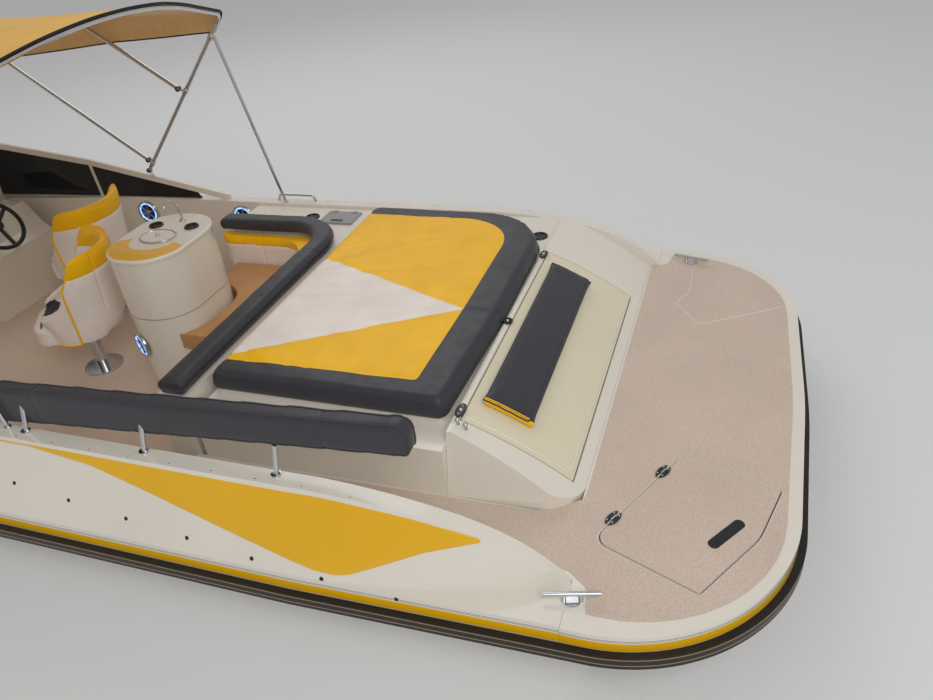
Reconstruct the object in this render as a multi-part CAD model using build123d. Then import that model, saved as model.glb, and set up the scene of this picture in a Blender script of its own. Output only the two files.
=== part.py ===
"""Sport day boat with a wide swim platform, about 8.8 m long, as separate pieces.

Millimetres. +X is towards the bow, +Y to port, +Z up. The origin lies on the
centreline at the waterline, below the after face of the transom trunk.
"""
import os
from math import atan2, cos, hypot, radians, sin, sqrt, tan

from build123d import *

os.makedirs("parts", exist_ok=True)

# Heights above the waterline
KEEL_Z = -480.0
SOLE_Z = 150.0  # cockpit sole
RAIL_Z = 300.0  # joint of hull and deck mouldings, behind the rub rail
BOW_SOLE_Z = 330.0  # floor of the bow well
FLOOR_Z = 420.0  # swim platform and walkway
LEDGE_Z = 655.0  # ledge that carries the engine hatch
DECK_TOP_Z = 700.0  # starboard quarterdeck
TRUNK_Z = 706.0  # top of the transom trunk
COAMING_Z = 720.0  # gunwale cap amidships
PAD_TOP_Z = 790.0  # top of the sunpad
BOW_RISE = 400.0  # rise of the rail joint from amidships to the stem
CAP_RISE = 200.0  # rise of the gunwale cap over the same length

# Stations along the boat
PLATFORM_END_X = -835.0
CORNER_X = PLATFORM_END_X + 45  # the platform's after edge is slightly bowed
CORNER_R = 700.0
TRANSOM_X = -110.0
TAPER_END_X = CORNER_X + CORNER_R - 20  # the sides' taper ends here, just ahead of the platform's corner
DECK_AFT_X = TAPER_END_X + 65  # after ends of the moulded sides
TRUNK_FWD_X = 535.0  # joint of trunk and engine box, the gutter aft of the sunpad
SIDE_X = 1000.0  # forward of here the sides keep one section
BOX_FWD_X = 1720.0  # forward end of the engine box
SOLE_AFT_X = 1770.0  # forward end of the walkway, where the sole steps down
SHEER_X = 3400.0  # the rail is level and straight aft of here
BULKHEAD_X = 4750.0  # forward end of the cockpit
WELL_AFT_X = 5500.0
WELL_FWD_X = 6750.0
STEM_X = 7940.0

# Half widths
RAIL_Y = 1440.0
COAMING_Y = 1200.0  # inner face of the gunwales
CAP_Y = 1276.0  # outer edge of the gunwale cap
WALK_Y = 900.0  # inboard side of the port walkway
DECK_Y = 780.0  # inboard edge of the starboard quarterdeck

SEAT_GAP = 0.3  # loose and moving pieces lie this far off their seats
JOINT_GAP = 1.0  # joint line between two mouldings
LID_GAP = 6.0  # gap round a lid
PANEL = 30.0  # moulded panel thickness
TUBE_R = 12.5  # stainless canopy tube
FAR = 3000.0  # reach of cutting solids beyond the boat
LAP = 100.0  # overlap of cutting solids

PARTS = {}


def keep(name, *solids):
    """Files the solids of one node."""
    PARTS[name] = list(solids)


def box(x0, x1, y0, y1, z0, z1):
    return Pos((x0 + x1) / 2, (y0 + y1) / 2, (z0 + z1) / 2) * Box(x1 - x0, y1 - y0, z1 - z0)


def closed(corners, radii):
    if radii is None:
        return make_face(Polyline(*corners, close=True))
    return make_face(FilletPolyline(*corners, radius=radii, close=True))


def across(face, y0, y1):
    """Side profile drawn at y = 0, carried across from y0 to y1."""
    return extrude(Pos(0, y0, 0) * face, amount=y1 - y0, dir=(0, 1, 0))


def profile(points, radii=None):
    """Side profile with points in X and Z."""
    return closed([(x, 0, z) for x, z in points], radii)


def plate(points, z0, z1, radii=None):
    """Plan outline with points in X and Y, carried up from z0 to z1."""
    return extrude(closed([(x, y, z0) for x, y in points], radii), amount=z1 - z0, dir=(0, 0, 1))


def disc(x, y, z0, z1, radius):
    return Pos(x, y, (z0 + z1) / 2) * Cylinder(radius, z1 - z0)


def cross_rod(x, z, y0, y1, radius):
    return Pos(x, (y0 + y1) / 2, z) * Rot(90, 0, 0) * Cylinder(radius, y1 - y0)


def rod(start, end, radius):
    a, b = Vector(*start), Vector(*end)
    return extrude(Plane(a, z_dir=b - a) * Circle(radius), amount=(b - a).length)


def pipe(points, radius, bends):
    path = FilletPolyline(*points, radius=bends)
    return sweep(Plane(path @ 0, z_dir=path % 0) * Circle(radius), path=path)


def section(x, points):
    return make_face(Polyline(*[(x, y, z) for y, z in points], close=True))


def mirrored(points):
    """Adds the other half to a list of points, leaving out those on the centreline."""
    return points + [(a, -b) for a, b in reversed(points) if b != 0]


def starboard(solid):
    return mirror(solid, about=Plane.XZ)


# SHEER
# The rail joint is level aft and a long arc forward
SHEER_R = ((STEM_X - SHEER_X) ** 2 + BOW_RISE ** 2) / (2 * BOW_RISE)


def sheer(x):
    ahead = max(0.0, x - SHEER_X)
    return RAIL_Z + SHEER_R - sqrt(SHEER_R ** 2 - ahead ** 2)


def under_sheer():
    """Everything below the rail joint."""
    mid_x, end_x = (SHEER_X + STEM_X) / 2, STEM_X + LAP
    return across(make_face([
        Line((-FAR, 0, RAIL_Z), (SHEER_X, 0, RAIL_Z)),
        ThreePointArc((SHEER_X, 0, RAIL_Z), (mid_x, 0, sheer(mid_x)), (end_x, 0, sheer(end_x))),
        Line((end_x, 0, sheer(end_x)), (end_x, 0, -FAR)),
        Line((end_x, 0, -FAR), (-FAR, 0, -FAR)),
        Line((-FAR, 0, -FAR), (-FAR, 0, RAIL_Z)),
    ]), -FAR, FAR)


below_sheer = under_sheer()


def rail_half_beam(x):
    """Half beam at the rail joint, aft of the bow."""
    return RAIL_Y - 30 * max(0.0, (SIDE_X - x) / (SIDE_X - TAPER_END_X))


# HULL
# Each line of the bow: value amidships, value at the stem, how late it bends
BOW_LINES = {
    "rail_y": (RAIL_Y, 30.0, 2.5),
    "cap_y": (CAP_Y, 20.0, 2.3),
    "chine_y": (1180.0, 20.0, 1.65),
    "chine_z": (-20.0, 650.0, 2.2),
    "keel_z": (KEEL_Z, 590.0, 4.0),
}
BOW_SHARES = (0.0, 0.12, 0.28, 0.44, 0.6, 0.75, 0.88, 1.0)  # places of the bow's stations
BOW_STATIONS = [SHEER_X + (STEM_X - SHEER_X) * share for share in BOW_SHARES]


def bow_line(name, x):
    amidships, stem, late = BOW_LINES[name]
    share = (x - SHEER_X) / (STEM_X - SHEER_X)
    return amidships + (stem - amidships) * share ** late


# Each station of the straight after body: x, rail half beam, chine half beam, chine height, keel height
AFT_STATIONS = (
    (TRANSOM_X, rail_half_beam(TRANSOM_X), 1170, -55, KEEL_Z + 10),
    (SIDE_X, RAIL_Y, 1185, -50, KEEL_Z),
    (SHEER_X, RAIL_Y, 1180, -20, KEEL_Z),
)
CHINE_FLAT = 0.06  # width of the flat along the chine, as a share of the chine's half beam
STRAKE_AT = 0.55  # place of the spray strake between keel and chine
STRAKE_H = 0.03  # its step, as a share of the chine's half beam


def hull_section(x, rail_y, chine_y, chine_z, keel_z):
    flat_y = chine_y * (1 - CHINE_FLAT)
    strake_y = flat_y * STRAKE_AT
    strake_z = keel_z + (chine_z - keel_z) * STRAKE_AT
    step = chine_y * STRAKE_H
    half = [(keel_z, 0), (strake_z - step * 0.3, strake_y - step), (strake_z - step * 0.3, strake_y + step),
            (strake_z + step * 0.9, strake_y + step), (chine_z - 4, flat_y), (chine_z - 4, chine_y),
            (chine_z + 12, chine_y + 6), (sheer(x) - 5, rail_y), (sheer(x) + LAP, rail_y)]
    return section(x, [(y, z) for z, y in mirrored(half)])


TUB_AFT_X = SOLE_AFT_X + JOINT_GAP
TUB_FWD_X = BULKHEAD_X + 20
TUB_FWD_Y = 960.0


def tub_outline(inset):
    """Plan of the cockpit tub, drawn in by a clearance."""
    return mirrored([(TUB_AFT_X + inset, COAMING_Y - inset), (SHEER_X, COAMING_Y - inset),
                     (TUB_FWD_X - inset, TUB_FWD_Y - inset)])


AISLE_Y = 280.0
WELL = mirrored([(WELL_AFT_X, 860), (WELL_FWD_X, 330)])
WELL_R = [120] * 4
BAY_AFT_X, BAY_FWD_X, BAY_Y, BAY_Z = 640.0, 1640.0, 560.0, -230.0
aft_hull = loft([hull_section(*row) for row in AFT_STATIONS], ruled=True)
bow_hull = loft([hull_section(x, *[bow_line(name, x) for name in ("rail_y", "chine_y", "chine_z", "keel_z")])
                 for x in BOW_STATIONS])
hull = (aft_hull + bow_hull) & below_sheer
hull -= plate(tub_outline(0), SOLE_Z - PANEL, FAR)
hull -= box(TUB_FWD_X - LAP, WELL_AFT_X + LAP, -AISLE_Y, AISLE_Y, SOLE_Z - PANEL, FAR)
hull -= plate(WELL, BOW_SOLE_Z, FAR, radii=WELL_R)
hull -= box(BAY_AFT_X, BAY_FWD_X, -BAY_Y, BAY_Y, BAY_Z, FAR)
keep("hull", hull)
keep("cockpit_sole", plate(tub_outline(2), SOLE_Z - PANEL, SOLE_Z))

# DECK SIDES
# Each station: x, outer edge of the side's foot, cap's outer edge, cap height
SIDE_STATIONS = (
    (DECK_AFT_X, 1225, 1215, FLOOR_Z + 6),
    (150, 1300, 1245, FLOOR_Z + 155),
    (400, 1365, 1262, COAMING_Z - 60),
    (700, 1412, 1272, COAMING_Z - 14),
    (SIDE_X, RAIL_Y - 8, CAP_Y, COAMING_Z),
)
BAND = FLOOR_Z - RAIL_Z  # upright band between the rail joint and the sloped topside
CAP_R = ((STEM_X - SHEER_X) ** 2 + CAP_RISE ** 2) / (2 * CAP_RISE)


def cap_z(x):
    """Height of the gunwale cap, level aft and a long arc forward."""
    return COAMING_Z + CAP_R - sqrt(CAP_R ** 2 - max(0.0, x - SHEER_X) ** 2)


def side_section(x, foot_y, cap_y, top_z):
    rail_y = rail_half_beam(x)
    return section(x, [(COAMING_Y, RAIL_Z), (rail_y, RAIL_Z), (rail_y - 7.5, FLOOR_Z),
                       (foot_y, FLOOR_Z), (cap_y, top_z), (COAMING_Y, top_z)])


def deck_section(x, rail_y, cap_y):
    half = [(sheer(x) - LAP, rail_y), (sheer(x), rail_y), (sheer(x) + BAND, rail_y - 8), (cap_z(x), cap_y)]
    return section(x, [(y, z) for z, y in mirrored(half)])


side = loft([side_section(*row) for row in SIDE_STATIONS])
side += extrude(side_section(SIDE_X, *SIDE_STATIONS[-1][1:]), amount=SHEER_X - SIDE_X, dir=(1, 0, 0))
keep("side_port", side)
keep("side_starboard", starboard(side))

foredeck = loft([deck_section(x, bow_line("rail_y", x), bow_line("cap_y", x)) for x in BOW_STATIONS])
foredeck -= below_sheer
TAPER_X, COCKPIT_FWD_Y = SHEER_X + 300, 1050.0  # where the cockpit starts to narrow, and to what
cockpit = mirrored([(SHEER_X - LAP, COAMING_Y), (TAPER_X, COAMING_Y), (BULKHEAD_X, COCKPIT_FWD_Y)])
foredeck -= plate(cockpit, 0, FAR)
foredeck -= plate(WELL, 0, FAR, radii=WELL_R)
foredeck -= box(BULKHEAD_X - LAP, WELL_AFT_X + LAP, -AISLE_Y, AISLE_Y, 0, FAR)
keep("foredeck", foredeck)

# SWIM PLATFORM and walkway, one moulding
PLATFORM_Y = RAIL_Y - 36
BOW_R = 4000.0
SKIRT_Z, SKIRT_IN = RAIL_Z - 60, 40.0  # underside of the platform and how far it is drawn in


def platform_plan(forward, out=0.0):
    """Outline of the platform and the sides behind it, grown outwards."""
    return mirrored([*forward, (TAPER_END_X, PLATFORM_Y + out + 6), (CORNER_X - out, PLATFORM_Y + out),
                     (PLATFORM_END_X - out, 0)])


platform = plate(platform_plan([(DECK_AFT_X - JOINT_GAP, PLATFORM_Y + 6)]), RAIL_Z, FLOOR_Z,
                 radii=[0, 0, CORNER_R, BOW_R, CORNER_R, 0, 0])
platform += plate(platform_plan([], -SKIRT_IN), SKIRT_Z, RAIL_Z,
                  radii=[0, CORNER_R - SKIRT_IN, BOW_R, CORNER_R - SKIRT_IN, 0])
platform -= box(TRANSOM_X - JOINT_GAP, FAR, -FAR, FAR, SKIRT_Z - 1, RAIL_Z)
platform += box(DECK_AFT_X - LAP, -JOINT_GAP, -COAMING_Y + JOINT_GAP, COAMING_Y - JOINT_GAP, RAIL_Z, FLOOR_Z)
platform += box(-LAP, SOLE_AFT_X, WALK_Y + JOINT_GAP, COAMING_Y - JOINT_GAP, RAIL_Z, FLOOR_Z)
LID_T = 28.0
# Corners of the port ladder lid, its two hinge corners first
LADDER_LID = ((-75, 1005), (-350, 460), (-745, 585), (-670, 860), (-480, 1165))
LADDER_LID_R = [60, 60, 20, 250, 20]
lid_hole = plate(LADDER_LID, FLOOR_Z - LID_T - SEAT_GAP, FLOOR_Z + LAP, radii=LADDER_LID_R)
lid_plan = offset(closed([(x, y, 0) for x, y in LADDER_LID], LADDER_LID_R), amount=-LID_GAP)
keep("ladder_lid", extrude(Pos(0, 0, FLOOR_Z - LID_T) * lid_plan, amount=LID_T + 3))
WELL_INSET = 55.0
ladder_well = offset(closed([(x, y, 0) for x, y in LADDER_LID], LADDER_LID_R), amount=-WELL_INSET)
platform -= lid_hole + extrude(Pos(0, 0, FLOOR_Z - 95) * ladder_well, amount=95)
keep("swim_platform", platform)

# RUB RAIL round the whole boat
RUBBER_LOW, RUBBER_HIGH, RUBBER_OUT = -10.0, 45.0, 28.0  # from the rail joint


def stern_block(out, low, high, forward_x):
    forward = [(forward_x, RAIL_Y + out), (SIDE_X, RAIL_Y + out)]
    return plate(platform_plan(forward, out), RAIL_Z + low, RAIL_Z + high,
                 radii=[0, 0, 0, CORNER_R + out, BOW_R, CORNER_R + out, 0, 0, 0])


def strip_section(x):
    """The strip's port section at a station of the bow, a little clearer of the boat towards the stem."""
    inner = bow_line("rail_y", x) + SEAT_GAP + (x - SHEER_X) / (STEM_X - SHEER_X)
    outer = bow_line("rail_y", x) + RUBBER_OUT
    low, high = sheer(x) + RUBBER_LOW, sheer(x) + RUBBER_HIGH
    return section(x, [(inner, low), (outer, low), (outer, high), (inner, high)])


rubber = stern_block(RUBBER_OUT, RUBBER_LOW, RUBBER_HIGH, SHEER_X)
rubber -= stern_block(SEAT_GAP, RUBBER_LOW - 1, RUBBER_HIGH + 1, SHEER_X + LAP)
strip = loft([strip_section(x) for x in BOW_STATIONS])
rubber += strip + starboard(strip)
stem_out = BOW_LINES["rail_y"][1] + RUBBER_OUT
stem_z = sheer(STEM_X)
rubber += box(STEM_X, STEM_X + RUBBER_OUT, -stem_out, stem_out, stem_z + RUBBER_LOW, stem_z + RUBBER_HIGH)
keep("rub_rail", rubber)

# TRANSOM TRUNK
# Its top is an arc rising from the platform to the gutter aft of the sunpad
TRUNK_MID = (250.0, 583.0)
ARC_END_X = 515.0


def circle_through(p, q, r):
    (ax, ay), (bx, by), (cx, cy) = p, q, r
    d = 2 * (ax * (by - cy) + bx * (cy - ay) + cx * (ay - by))
    ux = ((ax ** 2 + ay ** 2) * (by - cy) + (bx ** 2 + by ** 2) * (cy - ay)
          + (cx ** 2 + cy ** 2) * (ay - by)) / d
    uy = ((ax ** 2 + ay ** 2) * (cx - bx) + (bx ** 2 + by ** 2) * (ax - cx)
          + (cx ** 2 + cy ** 2) * (bx - ax)) / d
    return ux, uy, hypot(ax - ux, ay - uy)


ARC_X, ARC_Z, ARC_R = circle_through((0, FLOOR_Z), TRUNK_MID, (ARC_END_X, TRUNK_Z))


def off_trunk(x, out):
    """Point that stands out square from the trunk's arc at a station."""
    dx = (x - ARC_X) / ARC_R
    return ARC_X + (ARC_R + out) * dx, 0, ARC_Z + (ARC_R + out) * sqrt(1 - dx ** 2)


def arc_band(x0, x1, low, high):
    """Side profile of a band that follows the trunk's arc between two stations."""
    mid = (x0 + x1) / 2
    outer = [off_trunk(x, high) for x in (x0, mid, x1)]
    inner = [off_trunk(x, low) for x in (x0, mid, x1)]
    return make_face([ThreePointArc(*outer), Line(outer[2], inner[2]), ThreePointArc(*reversed(inner)),
                      Line(inner[0], outer[0])])


LID_Y = 745.0  # half width of the transom lid
LID_X0, LID_X1 = 50.0, 500.0
TRUNK_CORNER = 170.0
LOCKER_WALL = 45.0
trunk = across(make_face([
    ThreePointArc((0, 0, FLOOR_Z), (TRUNK_MID[0], 0, TRUNK_MID[1]), (ARC_END_X, 0, TRUNK_Z)),
    Polyline((ARC_END_X, 0, TRUNK_Z), (TRUNK_FWD_X, 0, TRUNK_Z), (TRUNK_FWD_X, 0, RAIL_Z), (0, 0, RAIL_Z),
             (0, 0, FLOOR_Z)),
]), -COAMING_Y + JOINT_GAP, WALK_Y)
trunk &= plate([(0, -FAR), (0, WALK_Y - 10), (TRUNK_FWD_X, WALK_Y), (TRUNK_FWD_X, -FAR)], 0, FAR,
               radii=[0, TRUNK_CORNER, 0, 0])
FLANK_TOP_Y = 835.0  # the port end leans in from the walkway to here
flank = section(-LAP, [(-FAR, 0), (WALK_Y, 0), (WALK_Y, FLOOR_Z), (FLANK_TOP_Y, TRUNK_Z + 1),
                       (-FAR, TRUNK_Z + 1)])
trunk &= extrude(flank, amount=FAR, dir=(1, 0, 0))
trunk -= across(arc_band(LID_X0 - LID_GAP, LID_X1 + LID_GAP, -LID_T - SEAT_GAP, LAP), -LID_Y - LID_GAP,
                LID_Y + LID_GAP)
locker_z = FLOOR_Z + 20
trunk -= across(profile([(LID_X0 + LOCKER_WALL, locker_z), (LID_X0 + LOCKER_WALL, PAD_TOP_Z),
                         (LID_X1 - LOCKER_WALL, PAD_TOP_Z), (LID_X1 - LOCKER_WALL, locker_z)]),
                LOCKER_WALL - LID_Y, LID_Y - LOCKER_WALL)
keep("transom_trunk", trunk)
keep("transom_lid", across(arc_band(LID_X0, LID_X1, -LID_T, 0), -LID_Y, LID_Y))
CUSHION_X0, CUSHION_X1, CUSHION_Y, CUSHION_T = 245.0, 462.0, 625.0, 34.0
keep("transom_cushion", across(arc_band(CUSHION_X0, CUSHION_X1, SEAT_GAP, CUSHION_T), -CUSHION_Y, CUSHION_Y))

# ENGINE BOX, hatch and sunpad
# Plan of the sunpad from its port after corner round by starboard
PAD_FWD_X = 1700.0
PAD_PLAN = ((572, 748), (548, 0), (560, -1065), (PAD_FWD_X, -1085), (PAD_FWD_X, 742))
PAD_R = [45, 3000, 420, 60, 25]
HATCH_T = 25.0
keep("sunpad", plate(PAD_PLAN, LEDGE_Z + HATCH_T + SEAT_GAP, PAD_TOP_Z, radii=PAD_R))

BOX_STBD_Y = -1110.0
BOX_WALL = 60.0
ARM_Y = (-450.0, 450.0)
ARM_T = 10.0
PIVOT_X, PIVOT_Z = 1860.0, 690.0
ARM_DROP = 100.0  # the arms pass this far below the pivot
engine_box = box(TRUNK_FWD_X + JOINT_GAP, BOX_FWD_X, BOX_STBD_Y, WALK_Y, RAIL_Z, LEDGE_Z)
engine_box -= box(TRUNK_FWD_X + BOX_WALL, BOX_FWD_X - BOX_WALL, BOX_STBD_Y + 2 * BOX_WALL,
                  DECK_Y - BOX_WALL, RAIL_Z - LAP, FAR)
for y in ARM_Y:
    engine_box -= box(BOX_FWD_X - BOX_WALL - 1, BOX_FWD_X + 1, y - 15, y + 15, PIVOT_Z - ARM_DROP - 22, FAR)
keep("engine_box", engine_box)

pad_face = closed([(x, y, 0) for x, y in PAD_PLAN], PAD_R)
hatch = extrude(Pos(0, 0, LEDGE_Z + SEAT_GAP) * offset(pad_face, amount=-12), amount=HATCH_T - SEAT_GAP)
ARM_AFT_X = BOX_FWD_X - BOX_WALL - 40
LOW_Z = PIVOT_Z - ARM_DROP
GOOSENECK = ((ARM_AFT_X, LEDGE_Z + 5), (ARM_AFT_X, LOW_Z - 10), (PIVOT_X + 10, LOW_Z - 10),
             (PIVOT_X + 10, PIVOT_Z), (PIVOT_X - 10, PIVOT_Z), (PIVOT_X - 10, LOW_Z + 10),
             (ARM_AFT_X + 20, LOW_Z + 10), (ARM_AFT_X + 20, LEDGE_Z + 5))
for y in ARM_Y:
    hatch += across(profile(GOOSENECK), y - ARM_T / 2, y + ARM_T / 2)
    hatch += cross_rod(PIVOT_X, PIVOT_Z, y - ARM_T / 2, y + ARM_T / 2, 14)
keep("engine_hatch", hatch)

# ENGINE, one plain block on its bearers
engine = box(BAY_AFT_X + 60, BAY_FWD_X - 80, -330, 330, BAY_Z + 60, 560)
for x in (BAY_AFT_X + 120, BAY_FWD_X - 220):
    engine += box(x, x + 100, -400, 400, BAY_Z, BAY_Z + 120)
keep("engine", engine)

# STARBOARD QUARTERDECK, which runs round the sunpad and carries the lounge's side
SADDLE_X = 2650.0
PAD_CLEAR = 14.0
QUARTER_AFT_X, QUARTER_Y = TRUNK_FWD_X + JOINT_GAP, -COAMING_Y + JOINT_GAP
OVERHANG_Y = -650.0  # the deck reaches in over the ledge to here, less the room for the sunpad
quarter = box(QUARTER_AFT_X, BOX_FWD_X + 1, QUARTER_Y, OVERHANG_Y, LEDGE_Z + SEAT_GAP, DECK_TOP_Z)
pad_room = offset(pad_face, amount=PAD_CLEAR)
quarter -= extrude(pad_room, amount=FAR)
quarter = quarter.solids().sort_by(SortBy.VOLUME)[-1]
quarter += box(QUARTER_AFT_X, BOX_FWD_X + 1, QUARTER_Y, BOX_STBD_Y - JOINT_GAP, RAIL_Z, DECK_TOP_Z)
quarter += box(BOX_FWD_X + JOINT_GAP, SADDLE_X, QUARTER_Y, -DECK_Y, RAIL_Z, DECK_TOP_Z)
quarter += box(TUB_AFT_X + JOINT_GAP, SADDLE_X, QUARTER_Y, -DECK_Y, SOLE_Z, RAIL_Z + 5)
LOCKER = (1830.0, 2060.0, -1130.0, -960.0)
LOCKER_RIM, LOCKER_DEEP = 15.0, 120.0
quarter -= box(LOCKER[0] + LOCKER_RIM, LOCKER[1] - LOCKER_RIM, LOCKER[2] + LOCKER_RIM, LOCKER[3] - LOCKER_RIM,
               DECK_TOP_Z - LOCKER_DEEP, FAR)
keep("quarterdeck", quarter)
keep("deck_lid", box(*LOCKER, DECK_TOP_Z + SEAT_GAP, DECK_TOP_Z + 12))

# LOUNGE, open to port, on the sole
WALL_X = 1890.0  # after face of the lounge's back panel
WALL_T = 20.0
CAP_T = 8.0
COAMING_TOP = 722.0
ROLL_AFT_X = 1748.0
SHELL_PORT_Y = 640.0
BASE_AFT_X = WALL_X + WALL_T + JOINT_GAP
BACK_Y = -DECK_Y + JOINT_GAP
WALL_FWD_X = WALL_X + WALL_T
lounge_shell = box(WALL_X, WALL_FWD_X, BACK_Y, SHELL_PORT_Y, SOLE_Z, COAMING_TOP)
lounge_shell += box(ROLL_AFT_X, WALL_FWD_X, BACK_Y, WALK_Y, COAMING_TOP - CAP_T, COAMING_TOP)
lounge_shell += box(ROLL_AFT_X, WALL_FWD_X, SHELL_PORT_Y, WALK_Y, RAIL_Z, COAMING_TOP)
lounge_shell += box(TUB_AFT_X + 3, WALL_FWD_X, SHELL_PORT_Y, WALK_Y, SOLE_Z, RAIL_Z + 5)
for y in ARM_Y:
    for y0 in (y - ARM_T / 2 - 8, y + ARM_T / 2 + 2):
        lounge_shell += box(PIVOT_X - 20, WALL_X + 5, y0, y0 + 6, PIVOT_Z - 22, COAMING_TOP)
keep("lounge_shell", lounge_shell)

BAR_X, BAR_Y, BAR_TOP = 2530.0, -100.0, 1000.0
BAR_L, BAR_W, BAR_R = 450.0, 600.0, 205.0  # along and across the boat, and its corners
TOP_T, TOP_OUT = 20.0, 6.0


def bar_plan(out, z0, z1):
    """The wet bar's plan, grown by a clearance and carried up."""
    face = RectangleRounded(BAR_L + 2 * out, BAR_W + 2 * out, BAR_R + out)
    return extrude(Pos(BAR_X, BAR_Y, z0) * face, amount=z1 - z0)


keep("wet_bar", bar_plan(0, SOLE_Z, BAR_TOP - TOP_T))
bar_top = bar_plan(TOP_OUT, BAR_TOP - TOP_T, BAR_TOP)
keep("wet_bar_top", fillet(bar_top.edges().group_by(Axis.Z)[-1], TOP_T / 2))
SEAT_Z0, SEAT_Z1 = 430.0, 540.0
SEAT_FWD_X = 2560.0
SEAT_PORT_Y = 170.0
PAD_T = 70.0  # backrest pads
NOOK_R = 220.0  # turn of the backrest round the after starboard corner of the seat
lounge_base = box(BASE_AFT_X, SEAT_FWD_X, BACK_Y, SEAT_PORT_Y - 10, SOLE_Z, SEAT_Z0)
keep("lounge_base", lounge_base - bar_plan(JOINT_GAP, 0, FAR))
seat_x0, seat_x1, seat_y = BASE_AFT_X + PAD_T + 2, SEAT_FWD_X - 5, BACK_Y + PAD_T + 2
seat_cushion = plate([(seat_x0, SEAT_PORT_Y), (seat_x0, seat_y), (seat_x1, seat_y), (seat_x1, SEAT_PORT_Y)],
                     SEAT_Z0 + SEAT_GAP, SEAT_Z1, radii=[0, NOOK_R - 2, 0, 0])
keep("lounge_cushion", seat_cushion - bar_plan(TOP_OUT, 0, FAR))
pad_x, pad_y = BASE_AFT_X + PAD_T, BACK_Y + PAD_T
backrest = plate([(BASE_AFT_X, SEAT_PORT_Y), (BASE_AFT_X, BACK_Y), (SADDLE_X, BACK_Y), (SADDLE_X, pad_y),
                  (pad_x, pad_y), (pad_x, SEAT_PORT_Y)],
                 SEAT_Z0 + SEAT_GAP, COAMING_TOP, radii=[0, 0, 0, 0, NOOK_R, 0])
keep("lounge_backrest", backrest)
ROLL_H, ROLL_W, ROLL_R = 80.0, 150.0, 300.0
ROLL_X = ROLL_AFT_X + ROLL_W / 2
ROLL_Z = COAMING_TOP + SEAT_GAP + ROLL_H / 2
ROLL_Y = -DECK_Y - 30
roll_line = [(ROLL_X, WALK_Y - 20), (ROLL_X, ROLL_Y), (SADDLE_X, ROLL_Y)]
roll_path = FilletPolyline(*[(x, y, ROLL_Z) for x, y in roll_line], radius=ROLL_R)
roll_face = Plane(roll_path @ 0, x_dir=(1, 0, 0), z_dir=(0, -1, 0)) * RectangleRounded(ROLL_W, ROLL_H, 38)
keep("coaming_roll", sweep(roll_face, path=roll_path))

# PORT BOLSTER above the gunwale, on posts
# Side outline from its lower after corner, with the radius of each corner
BOLSTER = ((505.0, 880.0), (2590.0, 715.0), (2590.0, 905.0), (505.0, 1025.0))
BOLSTER_R = [40, 40, 60, 50]
BOLSTER_Y, BOLSTER_T = 1160.0, 70.0
bolster = across(profile(BOLSTER, radii=BOLSTER_R), BOLSTER_Y - BOLSTER_T / 2, BOLSTER_Y + BOLSTER_T / 2)
keep("port_bolster", bolster)
CAP_SEAT_Z = COAMING_Z + SEAT_GAP
POST_FOOT_Y, POST_HEAD = 1222.0, (BOLSTER_Y + 5, 900.0)
FOOT_R, FOOT_T, STAY_R = 20.0, 8.0, 11.0
posts = []
for x in (1080, 1700, 2330):
    post = rod((x, POST_FOOT_Y, CAP_SEAT_Z - 5), (x, *POST_HEAD), STAY_R)
    post += disc(x, POST_FOOT_Y + 2, CAP_SEAT_Z, CAP_SEAT_Z + FOOT_T, FOOT_R)
    post -= bolster + box(x - LAP, x + LAP, BOLSTER_Y - LAP, POST_FOOT_Y + LAP, CAP_SEAT_Z - LAP, CAP_SEAT_Z)
    posts.append(post.solids().sort_by(Axis.Z)[0])
keep("bolster_posts", *posts)

# SEATS, buckets on pedestals
# Each seat: name, x, y, turn from facing forward
SEATS = (("companion", 3170.0, 50.0, 35.0), ("helm", 3650.0, -600.0, 0.0))
SWIVEL_Z, PEDESTAL_R, BASE_R, BASE_T = 440.0, 36.0, 115.0, 12.0
PAN_AFT_X, PAN_FWD_X, PAN_AFT_Y, PAN_FWD_Y = -150.0, 275.0, 150.0, 205.0
PAN_TOP_Z, PAN_EDGE = 560.0, 25.0
SHELL_LOW_R, SHELL_HIGH_R, SHELL_T = 236.0, 300.0, 55.0  # the shell flares upwards
SHELL_TOP_Z = 985.0
# Side outline that the shell is cut to, from its lower front corner
SHELL_SIDE = ((130, SWIVEL_Z + SEAT_GAP), (215, 610), (60, 680), (-110, SHELL_TOP_Z), (-FAR, SHELL_TOP_Z),
              (-FAR, SWIVEL_Z + SEAT_GAP))
SHELL_SIDE_R = [0, 40, 200, 90, 0, 0]


def bucket():
    """Seat facing forward: a pan, and a shell that wraps round the sitter and rises aft."""
    pan = plate([(PAN_AFT_X, -PAN_AFT_Y), (PAN_FWD_X, -PAN_FWD_Y), (PAN_FWD_X, PAN_FWD_Y),
                 (PAN_AFT_X, PAN_AFT_Y)], SWIVEL_Z + SEAT_GAP, PAN_TOP_Z, radii=[60, 110, 110, 60])
    pan = fillet(pan.edges().group_by(Axis.Z)[-1], PAN_EDGE)
    tall = SHELL_TOP_Z - SWIVEL_Z
    wall = Cone(SHELL_LOW_R, SHELL_HIGH_R, tall) - Cone(SHELL_LOW_R - SHELL_T, SHELL_HIGH_R - SHELL_T, tall)
    wall = Pos(0, 0, SWIVEL_Z + tall / 2) * wall & across(profile(SHELL_SIDE, radii=SHELL_SIDE_R), -FAR, FAR)
    return pan + wall


pedestals = []
seat_shape = bucket()
for name, x, y, turn in SEATS:
    pedestals.append(disc(x, y, SOLE_Z, SOLE_Z + BASE_T, BASE_R) + disc(x, y, SOLE_Z, SWIVEL_Z, PEDESTAL_R))
    keep(name + "_seat", Pos(x, y, 0) * Rot(0, 0, turn) * seat_shape)
keep("seat_pedestals", *pedestals)

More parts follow.
